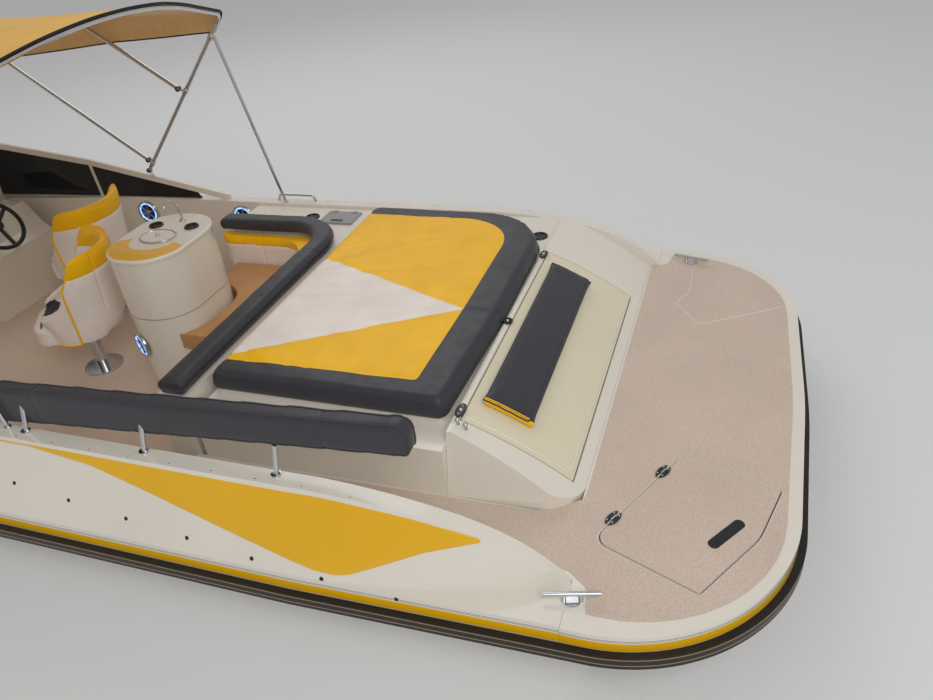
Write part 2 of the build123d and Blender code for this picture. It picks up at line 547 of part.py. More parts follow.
# CONSOLES under the windscreen
CONSOLE_Y = 945.0
DASH_Z, LIP_Z = 770.0, 620.0
DASH_AFT_X, DASH_FWD_X = BULKHEAD_X - 350, BULKHEAD_X - 250  # slope of the helm's dash
CONSOLE_FWD_X = BULKHEAD_X - JOINT_GAP
KNEE_X, KNEE_Z = DASH_AFT_X - 70, LIP_Z - 60
PORT_AFT_X, PORT_BEVEL = DASH_AFT_X + 30, 30.0
helm_console = across(profile([(KNEE_X, SOLE_Z), (KNEE_X, KNEE_Z), (DASH_AFT_X, LIP_Z), (DASH_FWD_X, DASH_Z),
                               (CONSOLE_FWD_X, DASH_Z), (CONSOLE_FWD_X, SOLE_Z)]), -CONSOLE_Y, -AISLE_Y)
port_console = across(profile([(PORT_AFT_X, SOLE_Z), (PORT_AFT_X, DASH_Z - PORT_BEVEL),
                               (PORT_AFT_X + PORT_BEVEL, DASH_Z), (CONSOLE_FWD_X, DASH_Z),
                               (CONSOLE_FWD_X, SOLE_Z)]), AISLE_Y, CONSOLE_Y)
keep("consoles", helm_console, port_console)
# Steering wheel, square to the sloping dash
DASH_SLOPE = atan2(DASH_Z - LIP_Z, DASH_FWD_X - DASH_AFT_X)
WHEEL_Y = -560.0
wheel_mid = Vector((DASH_AFT_X + DASH_FWD_X) / 2, WHEEL_Y, (LIP_Z + DASH_Z) / 2)
wheel_out = Vector(-sin(DASH_SLOPE), 0, cos(DASH_SLOPE))
WHEEL_R, WHEEL_RIM_R, WHEEL_STAND = 170.0, 14.0, 110.0
BOSS_R, BOSS_T, SPOKE_W, SPOKE_T, COLUMN_R = 38.0, 30.0, 26.0, 8.0, 20.0
wheel = Torus(WHEEL_R, WHEEL_RIM_R) + Cylinder(BOSS_R, BOSS_T)
for k in range(3):
    wheel += Rot(0, 0, 120 * k + 90) * Pos(WHEEL_R / 2, 0, 0) * Box(WHEEL_R, SPOKE_W, SPOKE_T)
wheel += Pos(0, 0, -WHEEL_STAND / 2 + SEAT_GAP / 2) * Cylinder(COLUMN_R, WHEEL_STAND - SEAT_GAP)
wheel_plane = Plane(wheel_mid + wheel_out * WHEEL_STAND, x_dir=(0, 1, 0), z_dir=wheel_out)
keep("steering_wheel", wheel_plane * wheel)

# Foot of the canopy's main bow, which stands on the windscreen's rail
BOW_Y = 1157.0
FOOT = (3450.0, 948.0)
MAIN_UP = radians(133.0)
STANDOFF = 34.0  # the other bows' pivots stand this far forward of the main bow's legs
FRONT_ALONG, MID_ALONG = 70.0, 740.0  # places of those pivots on the main bow's legs
EYE_R, EYE_Y = 15.0, 14.0  # round eye at the foot of each leg: radius and half width

# WINDSCREEN
# Foot on the deck and head of each upright, port side from aft forward; the first is the glass's after edge
SCREEN = (
    ((3120, 1234), (3150, 1216.5, 796)),
    ((4000, 1200), (3960, 1150, 1000)),
    ((4900, 1110), (4720, 1010, 1180)),
    ((5330, 640), (5100, 590, 1230)),
    ((5420, 300), (5190, 290, 1245)),
)
RAIL_START = (2900, 1237, 733)  # after end of the top rail, on the gunwale
POST_R, GLASS_T, PANE_CLEAR = 12.0, 6.0, 3.0
BAND_H, BAND_T, BAND_BEND = 46.0, 24.0, 80.0  # broad top rail: height, thickness, turns
BAND_CLEAR = 5.0  # glass to rail
BRACKET_R = 9.0  # carries the canopy's foot on the rail
rail_path = FilletPolyline(RAIL_START, *[head for _, head in SCREEN[1:]], radius=BAND_BEND)
rail_plane = Plane(rail_path @ 0, x_dir=(0, 0, 1), z_dir=rail_path % 0)
screen = sweep(rail_plane * RectangleRounded(BAND_H, BAND_T, BAND_T / 3), path=rail_path)
for foot, head in SCREEN[1:]:
    on_deck = Vector(*foot, cap_z(foot[0]))
    sunk = on_deck + (on_deck - Vector(*head)).normalized() * PANEL
    screen += rod(sunk.to_tuple(), head, POST_R)
rail_fwd = SCREEN[1][1]
share = (FOOT[0] - RAIL_START[0]) / (rail_fwd[0] - RAIL_START[0])
rail_point = [a + (b - a) * share for a, b in zip(RAIL_START, rail_fwd)]
screen += rod(rail_point, (FOOT[0], BOW_Y, FOOT[1]), BRACKET_R)
screen -= cross_rod(*FOOT, BOW_Y - 2 * EYE_Y, BOW_Y + 2 * EYE_Y, EYE_R + SEAT_GAP)
screen = screen - foredeck - side
screen = screen.solids().sort_by(SortBy.VOLUME)[-1]
keep("windscreen_frame", screen, starboard(screen))


def pane(aft, forward):
    """Glass between two uprights, from just above the deck to just below the rail."""
    edges = []
    run = (Vector(*forward[0]) - Vector(*aft[0])).normalized()
    square = Vector(-run.Y, run.X) * (GLASS_T / 2)
    for (foot, head), step in ((aft, POST_R + PANE_CLEAR), (forward, -POST_R - PANE_CLEAR)):
        low, head = Vector(*foot) + run * step, Vector(*head) + run * step
        low += Vector(0, 0, cap_z(low.X) + SEAT_GAP)
        high = head - (head - low).normalized() * (BAND_H / 2 + BAND_CLEAR)
        corners = [low - square, high - square, high + square, low + square]
        edges.append(make_face(Polyline(*corners, close=True)))
    return loft(edges, ruled=True)


panes = [pane(*pair) for pair in zip(SCREEN, SCREEN[1:])]
keep("windscreen_glass", *panes, *[starboard(p) for p in panes])

# CANOPY
# Each bow: foot, elevation of its legs, length of leg, rise of the crown's apex, half width


def on_leg(distance):
    """Point in front of a main leg, where another bow is pinned."""
    return (FOOT[0] + distance * cos(MAIN_UP) + STANDOFF * sin(MAIN_UP),
            FOOT[1] + distance * sin(MAIN_UP) - STANDOFF * cos(MAIN_UP))


BOWS = {
    "main": (FOOT, MAIN_UP, 1345.0, 1765.0, BOW_Y),
    "front": (on_leg(FRONT_ALONG), radians(36.2), 1290.0, 1680.0, BOW_Y),
    "mid": (on_leg(MID_ALONG), radians(34.6), 740.0, 1130.0, BOW_Y - STANDOFF),
}
CROWN_R, SHOULDER_R = 2200.0, 90.0


def bow_path(name, out=0.0, hem=0.0):
    """Centre line of a bow, or an outline standing out from it, that starts at the hem."""
    (fx, fz), up, leg, crown, half = BOWS[name]
    slope = atan2(crown - leg, half)
    crown_out = crown + out / cos(slope)
    corner = crown_out - (half + out) * tan(slope)
    side_y = half + out
    line = [(side_y, hem), (side_y, corner), (0, crown_out), (-side_y, corner), (-side_y, hem)]
    points = [(fx + a * cos(up), y, fz + a * sin(up)) for y, a in line]
    return FilletPolyline(*points, radius=[SHOULDER_R + out, CROWN_R + out, SHOULDER_R + out])


JAW_R = 8.0


def eye(name, grow=0.0):
    """Eye of a bow's port leg, grown all round by a clearance."""
    (fx, fz), half = BOWS[name][0], BOWS[name][4]
    return cross_rod(fx, fz, half - EYE_Y - grow, half + EYE_Y + grow, EYE_R + grow)


def bow(name):
    path = bow_path(name)
    tube = sweep(Plane(path @ 0, z_dir=path % 0) * Circle(TUBE_R), path=path)
    return tube + eye(name) + starboard(eye(name))


def jaw(name, along):
    """Stub on the main bow's port leg that reaches to the eye of another bow."""
    (fx, fz), half = BOWS[name][0], BOWS[name][4]
    leg_point = (FOOT[0] + along * cos(MAIN_UP), BOW_Y, FOOT[1] + along * sin(MAIN_UP))
    return rod(leg_point, (fx, half, fz), JAW_R) - eye(name, SEAT_GAP)


main_bow = bow("main")
for name, along in (("front", FRONT_ALONG), ("mid", MID_ALONG)):
    main_bow += jaw(name, along) + starboard(jaw(name, along))
keep("bimini_main_bow", main_bow)
for name in ("front", "mid"):
    keep("bimini_%s_bow" % name, bow(name))

# Hem of the canopy on each bow, from aft forward, as a drop below the top of the legs
HEMS = (("main", 137.0), ("mid", 240.0), ("front", 110.0))
CLOTH_T = 5.0
CLOTH_OUT = 20.0  # stands off the bows, because the cloth leaves them at a slant


def cloth_section(name, drop):
    inset = BOW_Y - BOWS[name][4]
    hem = BOWS[name][2] - drop
    low = bow_path(name, CLOTH_OUT + inset, hem)
    high = bow_path(name, CLOTH_OUT + CLOTH_T + inset, hem)
    return make_face([low, Line(low @ 1, high @ 1), high, Line(high @ 0, low @ 0)])


keep("bimini_canopy", loft([cloth_section(*row) for row in HEMS], ruled=True))
STRUT_R, STRUT_ALONG = 10.0, 1180.0  # the strut meets the main leg this far up
STRUT_FOOT = (2440.0, 1216.0)
head_x, head_z = FOOT[0] + STRUT_ALONG * cos(MAIN_UP) - 5, FOOT[1] + STRUT_ALONG * sin(MAIN_UP)
strut = rod((*STRUT_FOOT, CAP_SEAT_Z - 5), (head_x, BOW_Y + TUBE_R + STRUT_R, head_z), STRUT_R)
strut += disc(STRUT_FOOT[0], STRUT_FOOT[1] + 1, CAP_SEAT_Z, CAP_SEAT_Z + 6, 1.5 * STRUT_R)
strut -= Pos(*STRUT_FOOT, CAP_SEAT_Z - LAP / 2) * Box(2 * LAP, 2 * LAP, LAP)
keep("bimini_struts", strut, starboard(strut))

# STERNDRIVE, on the transom below the platform
SHIELD_T, SHIELD_Y, SHIELD_Z0 = 40.0, 170.0, -330.0
STEER_X, STEER_R = -200.0, 32.0  # upright swivel of the gimbal, between two ears of the bracket
GIMBAL_Z0, GIMBAL_Z1 = -160.0, -30.0
EAR_T, EAR_Y = 28.0, 40.0
CHEEK_Y0, CHEEK_Y1 = 45.0, 90.0
CHEEK_AFT_X = -315.0
TILT_X, TILT_Z, TILT_R = -282.0, -80.0, 24.0
LEG_Y = 42.0
bracket = box(TRANSOM_X - SHIELD_T, TRANSOM_X, -SHIELD_Y, SHIELD_Y, SHIELD_Z0, 0)
for z0 in (GIMBAL_Z0 - SEAT_GAP - EAR_T, GIMBAL_Z1 + SEAT_GAP):
    bracket += box(STEER_X, TRANSOM_X - SHIELD_T, -EAR_Y, EAR_Y, z0, z0 + EAR_T)
    bracket += disc(STEER_X, 0, z0, z0 + EAR_T, EAR_Y)
keep("drive_bracket", bracket)
gimbal = disc(STEER_X, 0, GIMBAL_Z0, GIMBAL_Z1, STEER_R)
gimbal += box(STEER_X - 50, STEER_X - 15, -CHEEK_Y1, CHEEK_Y1, GIMBAL_Z0, GIMBAL_Z1)
for y0 in (-CHEEK_Y1, CHEEK_Y0):
    gimbal += box(CHEEK_AFT_X, STEER_X - 20, y0, y0 + CHEEK_Y1 - CHEEK_Y0, TILT_Z - 40, TILT_Z + 40)
keep("drive_gimbal", gimbal)
SHAFT_Z = -700.0
LEG_FWD_X = TILT_X + 20
TORPEDO_X, TORPEDO_L, TORPEDO_R = -360.0, 240.0, 58.0
leg = across(profile([(LEG_FWD_X, TILT_Z), (-440, TILT_Z - 5), (-470, -300), (-430, SHAFT_Z), (-400, -930),
                      (-300, -930), (-245, -760), (LEG_FWD_X + 10, -480), (LEG_FWD_X, -300)]), -LEG_Y, LEG_Y)
leg += cross_rod(TILT_X, TILT_Z, -CHEEK_Y0 + SEAT_GAP, CHEEK_Y0 - SEAT_GAP, TILT_R)
leg += Pos(TORPEDO_X, 0, SHAFT_Z) * Rot(0, 90, 0) * Cylinder(TORPEDO_R, TORPEDO_L)
leg += plate([(-262, 60), (-300, 110), (-620, 110), (-620, -110), (-300, -110), (-262, -60)], -480, -468,
             radii=[20] * 6)
keep("drive_leg", leg)
PROP_R, HUB_R, HUB_L = 185.0, 52.0, 130.0
PROP_X = TORPEDO_X - TORPEDO_L / 2 - SEAT_GAP - HUB_L / 2
BLADE_ROOT, BLADE_HALF, BLADE_T, BLADE_TURN = 30.0, 66.0, 8.0, 32.0
BLADE_REACH = (PROP_R - BLADE_ROOT) / 2
hub = Pos(PROP_X, 0, SHAFT_Z) * Rot(0, 90, 0) * Cylinder(HUB_R, HUB_L)
blade = extrude(Plane.YZ * Ellipse(BLADE_HALF, BLADE_REACH), amount=BLADE_T / 2, both=True)
blade = Pos(0, 0, BLADE_ROOT + BLADE_REACH) * Rot(0, 0, BLADE_TURN) * blade
for k in range(3):
    hub += Pos(PROP_X, 0, SHAFT_Z) * Rot(120 * k, 0, 0) * blade
keep("propeller", hub)

# DECK FITTINGS
# Each cleat: x, y, turn
CLEATS = ((-65.0, 1290.0, 15.0), (-230.0, -1255.0, -15.0))
HORN_R, HORN_L = 9.0, 200.0
cleats = []
for x, y, turn in CLEATS:
    cleat = disc(0, 0, FLOOR_Z + SEAT_GAP, FLOOR_Z + 6, 30)
    for dx in (-30, 30):
        cleat += disc(dx, 0, FLOOR_Z + SEAT_GAP, FLOOR_Z + 34, HORN_R)
    cleat += Pos(0, 0, FLOOR_Z + 36) * Rot(0, 90, 0) * Cylinder(HORN_R, HORN_L)
    cleats.append(Pos(x, y, 0) * Rot(0, 0, turn) * cleat)
keep("cleats", *cleats)
GRAB_AFT_X, GRAB_FWD_X, GRAB_Y = 2230.0, 2520.0, -1256.0
GRAB_R, GRAB_H, GRAB_LEAN = 8.0, 38.0, 20.0
grab_line = [(GRAB_AFT_X, 0), (GRAB_AFT_X + GRAB_LEAN, GRAB_H), (GRAB_FWD_X - GRAB_LEAN, GRAB_H),
             (GRAB_FWD_X, 0)]
grab = pipe([(x, GRAB_Y, CAP_SEAT_Z + rise) for x, rise in grab_line], GRAB_R, 15)
grab -= box(GRAB_AFT_X - LAP, GRAB_FWD_X + LAP, GRAB_Y - 50, GRAB_Y + 50, CAP_SEAT_Z - LAP, CAP_SEAT_Z)
keep("grab_rail", grab)

# BOW SEATING
PAD_AFT_X, PAD_END_X = WELL_AFT_X + 60, WELL_FWD_X - 90
BOW_PAD_T = 190.0
bow_pad = plate([(PAD_AFT_X, 780), (PAD_END_X, 290), (PAD_END_X, 60), (PAD_AFT_X, 420)],
                BOW_SOLE_Z + SEAT_GAP, BOW_SOLE_Z + BOW_PAD_T, radii=[40] * 4)
keep("bow_cushions", bow_pad, starboard(bow_pad))

for name, solids in PARTS.items():
    shape = solids[0] if len(solids) == 1 else Compound(children=solids)
    export_step(shape, "parts/%s.step" % name)
print(len(PARTS), "nodes")
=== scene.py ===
import math

import bmesh
import bpy
import numpy as np
from mathutils import Matrix, Vector, noise
from mathutils.bvhtree import BVHTree
from mathutils.geometry import delaunay_2d_cdt


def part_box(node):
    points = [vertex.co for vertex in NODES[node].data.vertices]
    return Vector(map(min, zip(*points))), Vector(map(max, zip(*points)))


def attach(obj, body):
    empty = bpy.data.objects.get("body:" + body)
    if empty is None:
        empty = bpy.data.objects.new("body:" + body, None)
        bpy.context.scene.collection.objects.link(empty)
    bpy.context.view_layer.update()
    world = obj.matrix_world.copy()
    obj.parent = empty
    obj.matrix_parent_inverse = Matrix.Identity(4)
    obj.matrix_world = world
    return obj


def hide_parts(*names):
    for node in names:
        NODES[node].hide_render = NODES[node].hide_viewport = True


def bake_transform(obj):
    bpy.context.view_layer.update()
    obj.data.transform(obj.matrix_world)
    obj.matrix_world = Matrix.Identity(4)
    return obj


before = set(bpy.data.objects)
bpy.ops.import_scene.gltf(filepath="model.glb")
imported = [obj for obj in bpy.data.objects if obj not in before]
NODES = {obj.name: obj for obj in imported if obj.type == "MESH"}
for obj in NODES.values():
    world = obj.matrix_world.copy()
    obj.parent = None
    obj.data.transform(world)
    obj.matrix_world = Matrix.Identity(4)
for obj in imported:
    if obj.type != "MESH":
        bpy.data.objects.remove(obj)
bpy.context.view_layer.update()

bl_info = {
    "name": "Day boat dressing",
    "version": (1, 0, 0),
    "blender": (4, 5, 0),
    "location": "3D View > Sidebar > Day boat",
    "description": "Dresses the frame of a sport day boat with finishes, upholstery, canopy and fittings",
    "category": "Object",
}


def srgb(red, green, blue):
    """Linear colour from the 0 to 255 values that a screen shows."""
    def linear(value):
        value /= 255
        return value / 12.92 if value <= 0.04045 else ((value + 0.055) / 1.055) ** 2.4
    return linear(red), linear(green), linear(blue)


# Heights and stations of the mouldings, in metres
RAIL_Z = 0.300
FLOOR_Z = 0.420
DECK_Z = 0.700
SHEER_X, STEM_X, BOW_RISE = 3.400, 7.940, 0.400
PLATFORM_END_X = -0.835
PINSTRIPE = srgb(70, 62, 48)
# Gaps from the yellow stripe to the two pinstripes over it, and their width
PIN_GAPS, PIN_WIDE = (0.006, 0.012), 0.002
# Tan lines of the rub rail: lower and upper edge over the rail joint, and colour
RAIL_LINES = ((0.006, 0.010, srgb(178, 142, 92)), (0.035, 0.039, srgb(178, 142, 92)))


def colour(name, text, value):
    return bpy.props.FloatVectorProperty(name=name, description=text, subtype="COLOR", size=3,
                                         min=0.0, max=1.0, default=value)


def length(name, text, value):
    return bpy.props.FloatProperty(name=name, description=text, subtype="DISTANCE", unit="LENGTH",
                                   default=value)


class BoatColours(bpy.types.PropertyGroup):
    gelcoat: colour("Gelcoat", "White of the hull and deck mouldings", srgb(234, 228, 216))
    cream: colour("Cream gelcoat", "Cream of the transom lid", srgb(232, 222, 194))
    yellow_gelcoat: colour("Yellow gelcoat", "Stripe and topside panels", srgb(240, 184, 0))
    nonskid: colour("Nonskid", "Stippled walking surfaces", srgb(232, 212, 196))
    slate: colour("Slate vinyl", "Borders, rolls and bolsters", srgb(58, 58, 65))
    yellow_vinyl: colour("Yellow vinyl", "Sunpad and backrest panels", srgb(255, 196, 0))
    white_vinyl: colour("White vinyl", "Sunpad and seat panels", srgb(244, 234, 226))
    tan_vinyl: colour("Tan vinyl", "Lounge seat", srgb(196, 146, 94))
    canvas: colour("Canvas", "Outside of the canopy", srgb(246, 186, 8))
    lining: colour("Canvas lining", "Inside of the canopy", srgb(255, 216, 156))
    floor: colour("Floor", "Floor of the stage", srgb(232, 233, 235))


class BoatSizes(bpy.types.PropertyGroup):
    stripe_low: length("Stripe low", "Lower edge of the yellow stripe over the rail joint", 0.046)
    stripe_high: length("Stripe high", "Upper edge of the yellow stripe over the rail joint", 0.086)
    nonskid_margin: length("Nonskid margin", "Smooth border round the nonskid", 0.050)
    seam_depth: length("Seam depth", "Depth of the sewn seams in the pads", 0.006)
    pad_edge: length("Pad edge", "Radius of the pads' upper edge", 0.032)
    camera_height: length("Camera height", "Height of the camera over the waterline", 2.649)


def colours():
    return bpy.context.scene.day_boat_colours


def sizes():
    return bpy.context.scene.day_boat_sizes


# Shader helpers
def feed(tree, sockets, values):
    """Links each output to its socket, and sets every other value on the socket itself."""
    for key, value in (values or {}).items():
        socket = sockets[key]
        if hasattr(value, "is_output"):
            tree.links.new(value, socket)
        elif socket.type == "RGBA" and len(value) == 3:
            socket.default_value = (*value, 1.0)
        else:
            socket.default_value = value


def put(tree, kind, values=None, **settings):
    """Adds a node, with its settings and the values of its inputs."""
    node = tree.nodes.new(kind)
    for key, value in settings.items():
        setattr(node, key, value)
    feed(tree, node.inputs, values)
    return node


def math_node(tree, operation, a, b=0.0):
    return put(tree, "ShaderNodeMath", {0: a, 1: b}, operation=operation).outputs[0]


def times(tree, a, b):
    """Product of two colours, or of a colour and a value."""
    return put(tree, "ShaderNodeVectorMath", {0: a, 1: b}, operation="MULTIPLY").outputs[0]


def spread(tree, value, low, high, **ends):
    """Value carried over from one range, 0 to 1 if none is given, to another."""
    inputs = {"Value": value, "To Min": low, "To Max": high}
    inputs.update({"From " + key.capitalize(): end for key, end in ends.items()})
    return put(tree, "ShaderNodeMapRange", inputs).outputs[0]


def cloud(tree, scale, detail=2.0):
    """Noise over the object's own coordinates."""
    values = {"Vector": object_point(tree), "Scale": scale, "Detail": detail}
    return put(tree, "ShaderNodeTexNoise", values).outputs["Fac"]


def group(name, inputs, outputs, build):
    """Shader node group with named sockets, built once."""
    tree = bpy.data.node_groups.get(name)
    if tree:
        return tree
    tree = bpy.data.node_groups.new(name, "ShaderNodeTree")
    for label, kind, value in inputs:
        socket = tree.interface.new_socket(name=label, in_out="INPUT", socket_type=kind)
        socket.default_value = value
    for label, kind in outputs:
        tree.interface.new_socket(name=label, in_out="OUTPUT", socket_type=kind)
    source = tree.nodes.new("NodeGroupInput").outputs
    target = tree.nodes.new("NodeGroupOutput").inputs
    for label, socket in build(tree, source).items():
        tree.links.new(socket, target[label])
    return tree


FLOAT, COLOUR = "NodeSocketFloat", "NodeSocketColor"


def object_point(tree):
    return put(tree, "ShaderNodeTexCoord").outputs["Object"]


def mottle_group():
    """Slow change of shade over a surface."""
    def build(tree, source):
        low = math_node(tree, "SUBTRACT", 1.0, source["Amount"])
        high = math_node(tree, "ADD", 1.0, source["Amount"])
        shade = spread(tree, cloud(tree, source["Scale"], 5.0), low, high, min=0.3, max=0.7)
        return {"Colour": times(tree, source["Colour"], shade)}
    return group("Mottle", [("Colour", COLOUR, (1, 1, 1, 1)), ("Amount", FLOAT, 0.05), ("Scale", FLOAT, 3.0)],
                 [("Colour", COLOUR)], build)


def grain_group():
    """Pebbled grain of vinyl."""
    def build(tree, source):
        cells = put(tree, "ShaderNodeTexVoronoi", {"Vector": object_point(tree), "Scale": source["Scale"]},
                    feature="SMOOTH_F1")
        folds = math_node(tree, "MULTIPLY", cloud(tree, 60.0, 4.0), 0.6)
        return {"Height": math_node(tree, "ADD", cells.outputs["Distance"], folds)}
    return group("Vinyl grain", [("Scale", FLOAT, 520.0)], [("Height", FLOAT)], build)


def weave_group():
    """Plain weave of canvas, threads along and across."""
    def build(tree, source):
        values = {"Vector": object_point(tree), "Scale": source["Scale"], "Distortion": 0.4}
        warp, weft = (put(tree, "ShaderNodeTexWave", values, bands_direction=way).outputs["Fac"]
                      for way in "XY")
        return {"Height": math_node(tree, "MAXIMUM", warp, weft), "Slub": cloud(tree, 35.0, 6.0)}
    return group("Canvas weave", [("Scale", FLOAT, 260.0)], [("Height", FLOAT), ("Slub", FLOAT)], build)


def stipple_group():
    """Moulded nonskid, a close pebble pattern."""
    def build(tree, source):
        cells = put(tree, "ShaderNodeTexVoronoi", {"Vector": object_point(tree), "Scale": source["Scale"],
                                                   "Randomness": 0.75}, feature="DISTANCE_TO_EDGE")
        return {"Height": spread(tree, cells.outputs["Distance"], 0.0, 1.0, min=0.0, max=0.28)}
    return group("Nonskid stipple", [("Scale", FLOAT, 170.0)], [("Height", FLOAT)], build)


def dust_group():
    """Mask of dull salt film on what faces up."""
    def build(tree, source):
        normal = put(tree, "ShaderNodeTexCoord").outputs["Normal"]
        up = put(tree, "ShaderNodeSeparateXYZ", {0: normal}).outputs["Z"]
        film = spread(tree, cloud(tree, source["Scale"], 7.0), 0.0, 1.0, min=0.45, max=0.75)
        facing = math_node(tree, "MAXIMUM", up, 0.15)
        return {"Mask": math_node(tree, "MULTIPLY", film, facing)}
    return group("Salt film", [("Scale", FLOAT, 9.0)], [("Mask", FLOAT)], build)


def stripe_group():
    """Mask of a band that follows the rail joint round the outside of the boat."""
    def build(tree, source):
        place = put(tree, "ShaderNodeSeparateXYZ", {0: object_point(tree)}).outputs
        ahead = math_node(tree, "MAXIMUM", math_node(tree, "SUBTRACT", place["X"], SHEER_X), 0.0)
        radius = ((STEM_X - SHEER_X) ** 2 + BOW_RISE ** 2) / (2 * BOW_RISE)
        square = math_node(tree, "SUBTRACT", radius ** 2, math_node(tree, "MULTIPLY", ahead, ahead))
        joint = math_node(tree, "SUBTRACT", RAIL_Z + radius, math_node(tree, "SQRT", square))
        over = math_node(tree, "SUBTRACT", place["Z"], joint)
        above = math_node(tree, "GREATER_THAN", over, source["Low"])
        below = math_node(tree, "LESS_THAN", over, source["High"])
        normal = put(tree, "ShaderNodeTexCoord").outputs["Normal"]
        amidships = put(tree, "ShaderNodeVectorMath", {0: object_point(tree), 1: (3.0, 0.0, 0.0)},
                        operation="SUBTRACT").outputs[0]
        outward = put(tree, "ShaderNodeVectorMath", {0: normal, 1: amidships}, operation="DOT_PRODUCT")
        outside = math_node(tree, "GREATER_THAN", outward.outputs["Value"], 0.3)
        return {"Mask": math_node(tree, "MULTIPLY", math_node(tree, "MULTIPLY", above, below), outside)}
    return group("Sheer stripe", [("Low", FLOAT, 0.0), ("High", FLOAT, 0.04)], [("Mask", FLOAT)], build)


def use_group(tree, made, **values):
    return put(tree, "ShaderNodeGroup", values, node_tree=made).outputs


def mottled(tree, base, amount, scale):
    return use_group(tree, mottle_group(), Colour=base, Amount=amount, Scale=scale)["Colour"]


def mix_colour(tree, factor, a, b):
    return put(tree, "ShaderNodeMix", {0: factor, 6: a, 7: b}, data_type="RGBA").outputs[2]


def blank_material(name, **values):
    """Material with one Principled shader; returns it with its tree and shader."""
    material = bpy.data.materials.new(name)
    material.use_nodes = True
    shader = material.node_tree.nodes["Principled BSDF"]
    dress(material.node_tree, shader, **values)
    return material, material.node_tree, shader


def dress(tree, shader, bump=None, **values):
    """Feeds the shader's inputs, and its normal from a bump's height, strength and distance."""
    feed(tree, shader.inputs, {key.replace("_", " "): value for key, value in values.items()})
    if bump:
        node = put(tree, "ShaderNodeBump", dict(zip(("Height", "Strength", "Distance"), bump)))
        tree.links.new(node.outputs[0], shader.inputs["Normal"])


def filmed(tree, scale, low, high):
    """Roughness that a salt film raises in patches."""
    return spread(tree, use_group(tree, dust_group(), Scale=scale)["Mask"], low, high)


def banded(tree, paint, bands):
    """Paint with bands round the outside of the boat, each from a low to a high edge over the rail joint."""
    for low, high, shade in bands:
        mask = use_group(tree, stripe_group(), Low=low, High=high)["Mask"]
        paint = mix_colour(tree, mask, paint, shade)
    return paint


def gelcoat(name, base, stripe=None):
    """Polished gelcoat with a faint orange peel and salt film, and a stripe if asked for."""
    material, tree, shader = blank_material(name, Coat_Weight=0.35, Coat_Roughness=0.06)
    paint = mottled(tree, base, 0.025, 1.7)
    if stripe:
        high = sizes().stripe_high
        pins = [(high + low, high + low + PIN_WIDE, PINSTRIPE) for low in PIN_GAPS]
        paint = banded(tree, paint, [(sizes().stripe_low, high, stripe), *pins])
    dress(tree, shader, Base_Color=paint, Roughness=filmed(tree, 7.0, 0.16, 0.34),
          bump=(cloud(tree, 90.0), 0.05, 0.001))
    return material


def nonskid(name, base):
    """Stippled walking surface, with painted shade darkening its hollows."""
    material, tree, shader = blank_material(name)
    height = use_group(tree, stipple_group(), Scale=170.0)["Height"]
    paint = mottled(tree, base, 0.05, 2.4)
    # Painted shade: the hollows between the pebbles are darkened to about 70 % of the paint
    painted_hollow_shade = times(tree, paint, (0.72, 0.70, 0.68))
    dress(tree, shader, Base_Color=mix_colour(tree, height, painted_hollow_shade, paint),
          Roughness=filmed(tree, 5.0, 0.42, 0.62), bump=(height, 0.55, 0.0012))
    return material


def vinyl(name, base, rough=0.40):
    """Marine vinyl with a pebbled grain."""
    material, tree, shader = blank_material(name, Sheen_Weight=0.05, Sheen_Roughness=0.5,
                                            Specular_IOR_Level=0.35)
    grain = use_group(tree, grain_group(), Scale=520.0)["Height"]
    dress(tree, shader, Base_Color=mottled(tree, base, 0.06, 6.0),
          Roughness=filmed(tree, 14.0, rough, rough + 0.14), bump=(grain, 0.22, 0.0006))
    return material


def canvas(name, outside, inside):
    """Woven canvas, with the colour of its lining on the inner face."""
    material, tree, shader = blank_material(name, Sheen_Weight=0.25, Roughness=0.82)
    cloth = use_group(tree, weave_group(), Scale=260.0)
    face = put(tree, "ShaderNodeNewGeometry").outputs["Backfacing"]
    dyed = mottled(tree, mix_colour(tree, face, outside, inside), 0.07, 4.0)
    faded = times(tree, dyed, (0.86, 0.85, 0.83))
    dress(tree, shader, Base_Color=mix_colour(tree, cloth["Slub"], faded, dyed),
          bump=(cloth["Height"], 0.35, 0.0008))
    return material


def metal(name, base, low, high):
    """Polished or ground metal with fine scratches."""
    material, tree, shader = blank_material(name, Metallic=1.0)
    dress(tree, shader, Base_Color=mottled(tree, base, 0.05, 20.0),
          Roughness=spread(tree, cloud(tree, 40.0, 8.0), low, high))
    return material


def rubber(name, base, rough=0.5, bands=()):
    """Rubber, plastic or dull paint, with bands round the boat if asked for."""
    material, tree, shader = blank_material(name)
    dress(tree, shader, Base_Color=banded(tree, mottled(tree, base, 0.15, 12.0), bands),
          Roughness=filmed(tree, 11.0, rough, rough + 0.2), bump=(cloud(tree, 400.0), 0.15, 0.0004))
    return material


def smoked_glass(name, base):
    material, tree, shader = blank_material(name, Transmission_Weight=0.35, IOR=1.45, Roughness=0.03)
    dress(tree, shader, Base_Color=mottled(tree, base, 0.05, 3.0))
    return material


def glow(name, base, strength):
    """Lit ring of a lamp, a little brighter in spots where its diodes sit."""
    material, tree, shader = blank_material(name, Roughness=0.3, Emission_Strength=strength)
    lit = mottled(tree, base, 0.35, 60.0)
    dress(tree, shader, Emission_Color=lit, Base_Color=lit)
    return material


